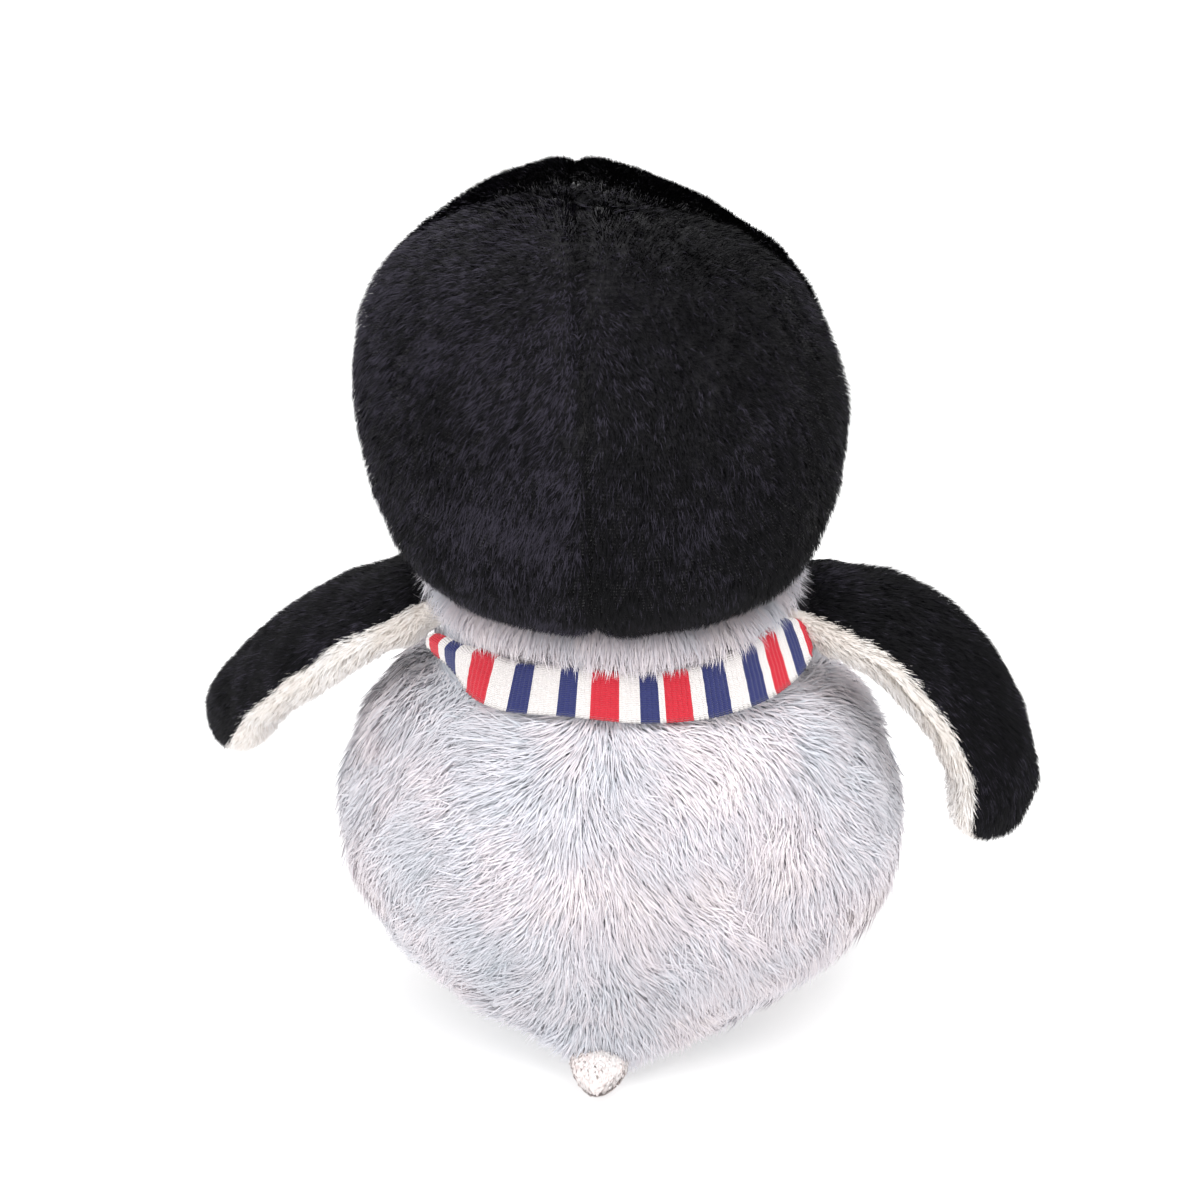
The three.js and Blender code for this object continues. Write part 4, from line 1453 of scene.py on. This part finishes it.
# The stripes seen from behind: each one's middle and width in degrees round the neck, and its yarn.
STRIPES = [(37.0, 6.6, "red"), (23.8, 5.6, "navy"), (10.4, 4.8, "navy"), (0.6, 7.2, "red"),
           (-11.1, 4.8, "navy"), (-18.9, 7.0, "red"), (-29.6, 6.2, "navy"), (-41.0, 5.2, "navy"),
           (-49.6, 6.0, "red"), (-58.5, 5.0, "navy"), (-67.0, 4.6, "red"), (48.5, 4.6, "navy"),
           (57.5, 5.4, "red"), (67.0, 4.6, "navy")]


def stripe_of(angle, repeat):
    """Which yarn each place has, from 0 white, 1 red and 2 navy: stripes by their middles and widths."""
    picks = np.zeros(angle.shape, int)
    for at, width, yarn in STRIPES:
        half = width / 2 / 0.96
        gap = np.abs(angle - at)
        picks = np.where(gap < half, 1 if yarn == "red" else 2, picks)
    if repeat:
        turns = (angle / 13.0) % 5
        picks = np.where((turns % 1) < 0.48, np.where(np.floor(turns) % 3 == 0, 1, 2), 0)
    return picks


def folded_section(count, height, layer, gap):
    """The outline of a strip folded in two: up its outside, over the fold, and down its inside.

    Gives height along the strip and distance out from the body for each point, as a closed loop:
    two hairpins, one inside the other, whose ends meet at the hem.
    """
    half = height / 2
    outer_r, inner_r = layer + gap / 2, gap / 2
    legs = count // 4
    rise = np.linspace(-half, half - outer_r, legs)
    bow = np.radians(np.linspace(90, -90, count // 2 - 2 * legs + 8))[1:-1]
    outside = np.concatenate([
        np.stack([rise, outer_r + 0 * rise], -1),
        np.stack([half - outer_r + outer_r * np.cos(bow), outer_r * np.sin(bow)], -1),
        np.stack([rise[::-1], -outer_r + 0 * rise], -1)])
    inside = np.concatenate([
        np.stack([rise, -inner_r + 0 * rise], -1),
        np.stack([half - outer_r + inner_r * np.cos(bow[::-1]), inner_r * np.sin(bow[::-1])], -1),
        np.stack([rise[::-1], inner_r + 0 * rise], -1)])
    return np.concatenate([outside, inside])


def band_arc(first, last, scarf, behind):
    """One stretch of the scarf round the body: the folded section carried from angle to angle.

    Angles are from the back, towards the left. The section stands on the body's slope; its ribs
    lift the outside as the size of a sine, and its ends narrow to nothing under the flippers.
    """
    rib, layer = scarf.rib / MM, scarf.layer / MM
    run = 57.0 * math.radians(abs(last - first))
    rows = int(run / rib * 6)
    angle = np.radians(np.linspace(first, last, rows))[:, None]
    t = np.linspace(0, 1, rows)[:, None]
    ends = np.sqrt(np.clip(1 - np.abs(2 * t - 1) ** 14, 0, 1))
    degrees = np.degrees(angle)
    height = 15.0 + 0 * angle
    if behind:
        height = 15.2 - 6.5 * smooth(degrees, 34, 56) + 2.6 * smooth(-degrees, 12, 45)
        height = height - 3.0 * smooth(-degrees, 55, 72)
    loop = folded_section(36, 15.0, layer, 1.2)
    h = loop[None, :, 0] / 15.0 * height * ends
    o = loop[None, :, 1] * np.maximum(ends, 0.05)
    ribs = np.abs(np.sin(math.pi * t * run / rib)) ** 0.8
    outside = smooth(loop[None, :, 1], layer * 0.6, layer * 1.1)
    o = o + (ribs - 0.5) * (scarf.relief / MM) * outside * ends
    hem = np.exp(-(((h / height) + 0.36) / 0.035) ** 2) * 0.35 + 0.15 * noise(
        np.stack([h + 0 * t, 8 * t + 0 * h, 0 * h + 0 * t], -1), 1.3, 81)
    o = o - hem * outside
    if behind:
        flip = 0.9 * smooth(degrees, 34, 50) * (1 - smooth(degrees, 60, 66))
        h, o = h * np.cos(flip) - o * np.sin(flip), o * np.cos(flip) + h * np.sin(flip) * 0.35
    rise = 0 * angle
    if behind:
        rise = 6.6 * smooth(degrees, 24, 64) + 11.0 * smooth(-degrees, 22, 66)
    rise = rise + 0.5 * np.sin(angle * 9)
    back = np.cos(angle)
    middle_z = SCARF_Z + SCARF_SLOPE * 49 * back + rise
    radius = body_radius(middle_z)
    slope = (body_radius(middle_z + 3) - body_radius(middle_z - 3)) / 6
    up_z = 1 / np.sqrt(1 + slope**2)
    up_r = slope * up_z
    r = radius + 0.9 + layer + 0.9 + h * up_r + o * up_z
    z = middle_z + h * up_z - o * up_r
    points = np.stack([r * np.sin(angle) * broad(middle_z), r * np.cos(angle) * BODY_DEPTH, z], axis=-1)
    uv = np.stack([t * run + 0 * h, h + 0 * t], axis=-1)
    return points, degrees + 0 * h, uv


def yarns(scarf):
    """The three yarns as finishes: white, red and navy."""
    def of(name, colour):
        colour = np.array(colour)
        return finish_of(name, lambda: knitting(name, tuple(colour), tuple(colour * 0.78)))

    return [of("white_yarn", scarf.white), of("red_yarn", scarf.red), of("navy_yarn", scarf.navy)]


def joined(made, name):
    """Several meshes as one object."""
    with bpy.context.temp_override(active_object=made[0], selected_editable_objects=made):
        bpy.ops.object.join()
    made[0].name = name
    made[0].data.name = name
    return made[0]


class PENGUIN_OT_scarf(bpy.types.Operator):
    """Make the rib-knitted scarf: the folded band, its knot and its two hanging ends"""

    bl_idname = "penguin.scarf"
    bl_label = "Scarf"

    def execute(self, context):
        scarf = context.scene.penguin_scarf
        arcs = []
        for name, first, last, behind in (("rear", 64.0, -70.0, True), ("fore", 248.0, 112.0, False)):
            points, degrees, uv = band_arc(first, last, scarf, behind)
            form = faced_out(Form(points))
            flipped = not np.allclose(form.points[3], Form(points).points[3])
            if flipped:
                degrees, uv = degrees[:, ::-1], uv[:, ::-1]
            picks = stripe_of(degrees, not behind)
            made = form.mesh(f"scarf_{name}", yarns(scarf), picks=picks[:-1], uv=uv)
            arcs.append(made)
        band = joined(arcs, "scarf_band_knit")
        dressed(band, "torso", "striped_knit", "scarf_band")
        knot = self.knot(scarf)
        for name, side in (("left", 1), ("right", -1)):
            self.end(scarf, name, side)
        return {"FINISHED"}

    def knot(self, scarf):
        """The knot: a flat ball ribbed across, pinched at its middle, clear of the band."""
        way = ball(60, 120)
        rib = scarf.rib / MM
        p = KNOT_MIDDLE + way * KNOT_HALF
        pinch = 1 - 0.14 * np.exp(-(p[..., 0] / 4.0) ** 2)
        p[..., 2] = KNOT_MIDDLE[2] + (p[..., 2] - KNOT_MIDDLE[2]) * pinch
        p = Form(p)
        ribs = np.abs(np.sin(math.pi * p.points[..., 2] / rib)) - 0.5
        p = p.moved(ribs * scarf.relief / MM).points
        p[..., 1] = clear_of_body(p, 6.6, -1)
        form = Form(p)
        picks = stripe_of(form.centres()[..., 0] * 1.6 + 20, True)
        uv = np.stack([form.points[..., 0], form.points[..., 2]], axis=-1)
        made = form.mesh("scarf_knot_knit", yarns(scarf), picks=picks, uv=uv)
        return dressed(made, "torso", "striped_knit", "scarf_knot")

    def end(self, scarf, name, side):
        """A hanging end: a flat ribbed strip, gathered under the knot, that widens and curls."""
        rows, cols = 220, 48
        way = np.linspace(0, 1, rows)[:, None]
        turn = np.arange(cols) * (2 * math.pi / cols)
        ends = np.sqrt(np.clip(1 - np.abs(2 * way - 1) ** 30, 0, 1))
        gather = 1 - smooth(way, 0, 0.24)
        width = END_WIDTH * (0.82 + 0.18 * way - 0.36 * gather) * ends
        across = width * np.sign(np.cos(turn)) * np.abs(np.cos(turn)) ** 0.5
        deep = 1.45 * ends * np.sign(np.sin(turn)) * np.abs(np.sin(turn)) ** 0.5
        ribs = np.abs(np.sin(math.pi * across / (scarf.rib / MM))) - 0.5
        deep = deep + np.sign(deep) * ribs * (scarf.relief / MM) * 0.7 * ends
        down = END_LENGTH * way + 0.5 - 3.8 * gather
        wave = 0.7 * np.sin(across / 5 + way * 4) * way
        lean, splay = math.radians(6), math.radians(5) * side
        out, fall = deep + wave, -down
        y = out * math.cos(lean) + fall * math.sin(lean)
        z = fall * math.cos(lean) - out * math.sin(lean)
        x = side * (END_OUT - 7.0 * gather) + across * math.cos(splay) - z * math.sin(splay)
        points = np.stack([x, y + END_FRONT, END_TOP + z * math.cos(splay)], axis=-1)
        form = faced_out(Form(points))
        drop = END_TOP - form.centres()[..., 2]
        picks = stripe_of(drop * 1.35 + 8, True)
        uv = np.stack([form.points[..., 0], form.points[..., 2]], axis=-1)
        made = form.mesh(f"scarf_end_{name}_knit", yarns(scarf), picks=picks, uv=uv)
        dressed(made, f"{name}_scarf_end", "striped_knit", f"scarf_end_{name}")


# ---------------------------------------------------------------- stage


class PENGUIN_OT_stage(bpy.types.Operator):
    """Set the pale floor, the soft lights and the camera"""

    bl_idname = "penguin.stage"
    bl_label = "Stage"

    def execute(self, context):
        scene = context.scene
        scene.view_settings.view_transform = "Standard"
        world = bpy.data.worlds.new("studio")
        scene.world = world
        world.use_nodes = True
        world.node_tree.nodes["Background"].inputs["Color"].default_value = (1, 1, 1, 1)
        world.node_tree.nodes["Background"].inputs["Strength"].default_value = 0.95
        half, level = 3000.0, -0.4
        around = ((-1, -1), (1, -1), (1, 1), (-1, 1))
        corners = np.array([(x * half, y * half, level) for x, y in around])
        floor = make_mesh("studio_floor", corners, [np.array([[0, 1, 2, 3]])], [studio_floor()])
        target = np.array([5.9, 0.0, 134.0]) * MM
        self.light("key", target, 215, 62, 1.5, 14.0, 0.9)
        self.light("fill", target, 140, 45, 1.6, 8.0, 1.2)
        self.light("front", target, 20, 50, 1.6, 8.0, 1.2)
        camera = bpy.data.objects.new("camera", bpy.data.cameras.new("camera"))
        scene.collection.objects.link(camera)
        camera.data.lens = 132.0
        camera.data.sensor_width = 36.0
        camera.data.clip_start = 0.05
        self.aim(camera, target, 185, 29, 1.3)
        scene.camera = camera
        return {"FINISHED"}

    def aim(self, thing, target, azimuth, elevation, distance):
        """Places a thing round a target and turns it to look there."""
        a, e = math.radians(azimuth), math.radians(elevation)
        way = np.array([math.sin(a) * math.cos(e), -math.cos(a) * math.cos(e), math.sin(e)])
        thing.location = (target + way * distance).tolist()
        look = type(thing.location)((-way).tolist())
        thing.rotation_euler = look.to_track_quat("-Z", "Y").to_euler()

    def light(self, name, target, azimuth, elevation, distance, power, size):
        """A square soft light."""
        lamp = bpy.data.lights.new(name, "AREA")
        lamp.energy = power
        lamp.size = size
        made = bpy.data.objects.new(name, lamp)
        bpy.context.scene.collection.objects.link(made)
        self.aim(made, target, azimuth, elevation, distance)


# ---------------------------------------------------------------- panel and registration


OPERATORS = (
    PENGUIN_OT_body, PENGUIN_OT_neck, PENGUIN_OT_head, PENGUIN_OT_eyes, PENGUIN_OT_beak,
    PENGUIN_OT_flippers, PENGUIN_OT_feet, PENGUIN_OT_tail, PENGUIN_OT_scarf, PENGUIN_OT_stage,
)
GROUPS = {
    "penguin_pile": PenguinPile,
    "penguin_sewing": PenguinSewing,
    "penguin_scarf": PenguinScarf,
    "penguin_colours": PenguinColours,
}


class PENGUIN_PT_panel(bpy.types.Panel):
    """Lists the penguin's pieces with their sizes and colours"""

    bl_idname = "PENGUIN_PT_panel"
    bl_label = "Plush Penguin"
    bl_space_type = "VIEW_3D"
    bl_region_type = "UI"
    bl_category = "Penguin"

    def draw(self, context):
        layout = self.layout
        for key, group in GROUPS.items():
            box = layout.box()
            box.label(text=group.__doc__)
            for field in group.__annotations__:
                box.prop(getattr(context.scene, key), field)
        for operator in OPERATORS:
            layout.operator(operator.bl_idname)


def register():
    for made in (*GROUPS.values(), *OPERATORS, PENGUIN_PT_panel):
        bpy.utils.register_class(made)
    for key, group in GROUPS.items():
        setattr(bpy.types.Scene, key, bpy.props.PointerProperty(type=group))


def unregister():
    for key in GROUPS:
        delattr(bpy.types.Scene, key)
    for made in (PENGUIN_PT_panel, *OPERATORS[::-1], *list(GROUPS.values())[::-1]):
        bpy.utils.unregister_class(made)


def main():
    register()
    bpy.ops.penguin.body()
    bpy.ops.penguin.neck()
    bpy.ops.penguin.head()
    bpy.ops.penguin.eyes()
    bpy.ops.penguin.beak()
    bpy.ops.penguin.flippers()
    bpy.ops.penguin.feet()
    bpy.ops.penguin.tail()
    bpy.ops.penguin.scarf()
    bpy.ops.penguin.stage()


if __name__ == "__main__":
    main()
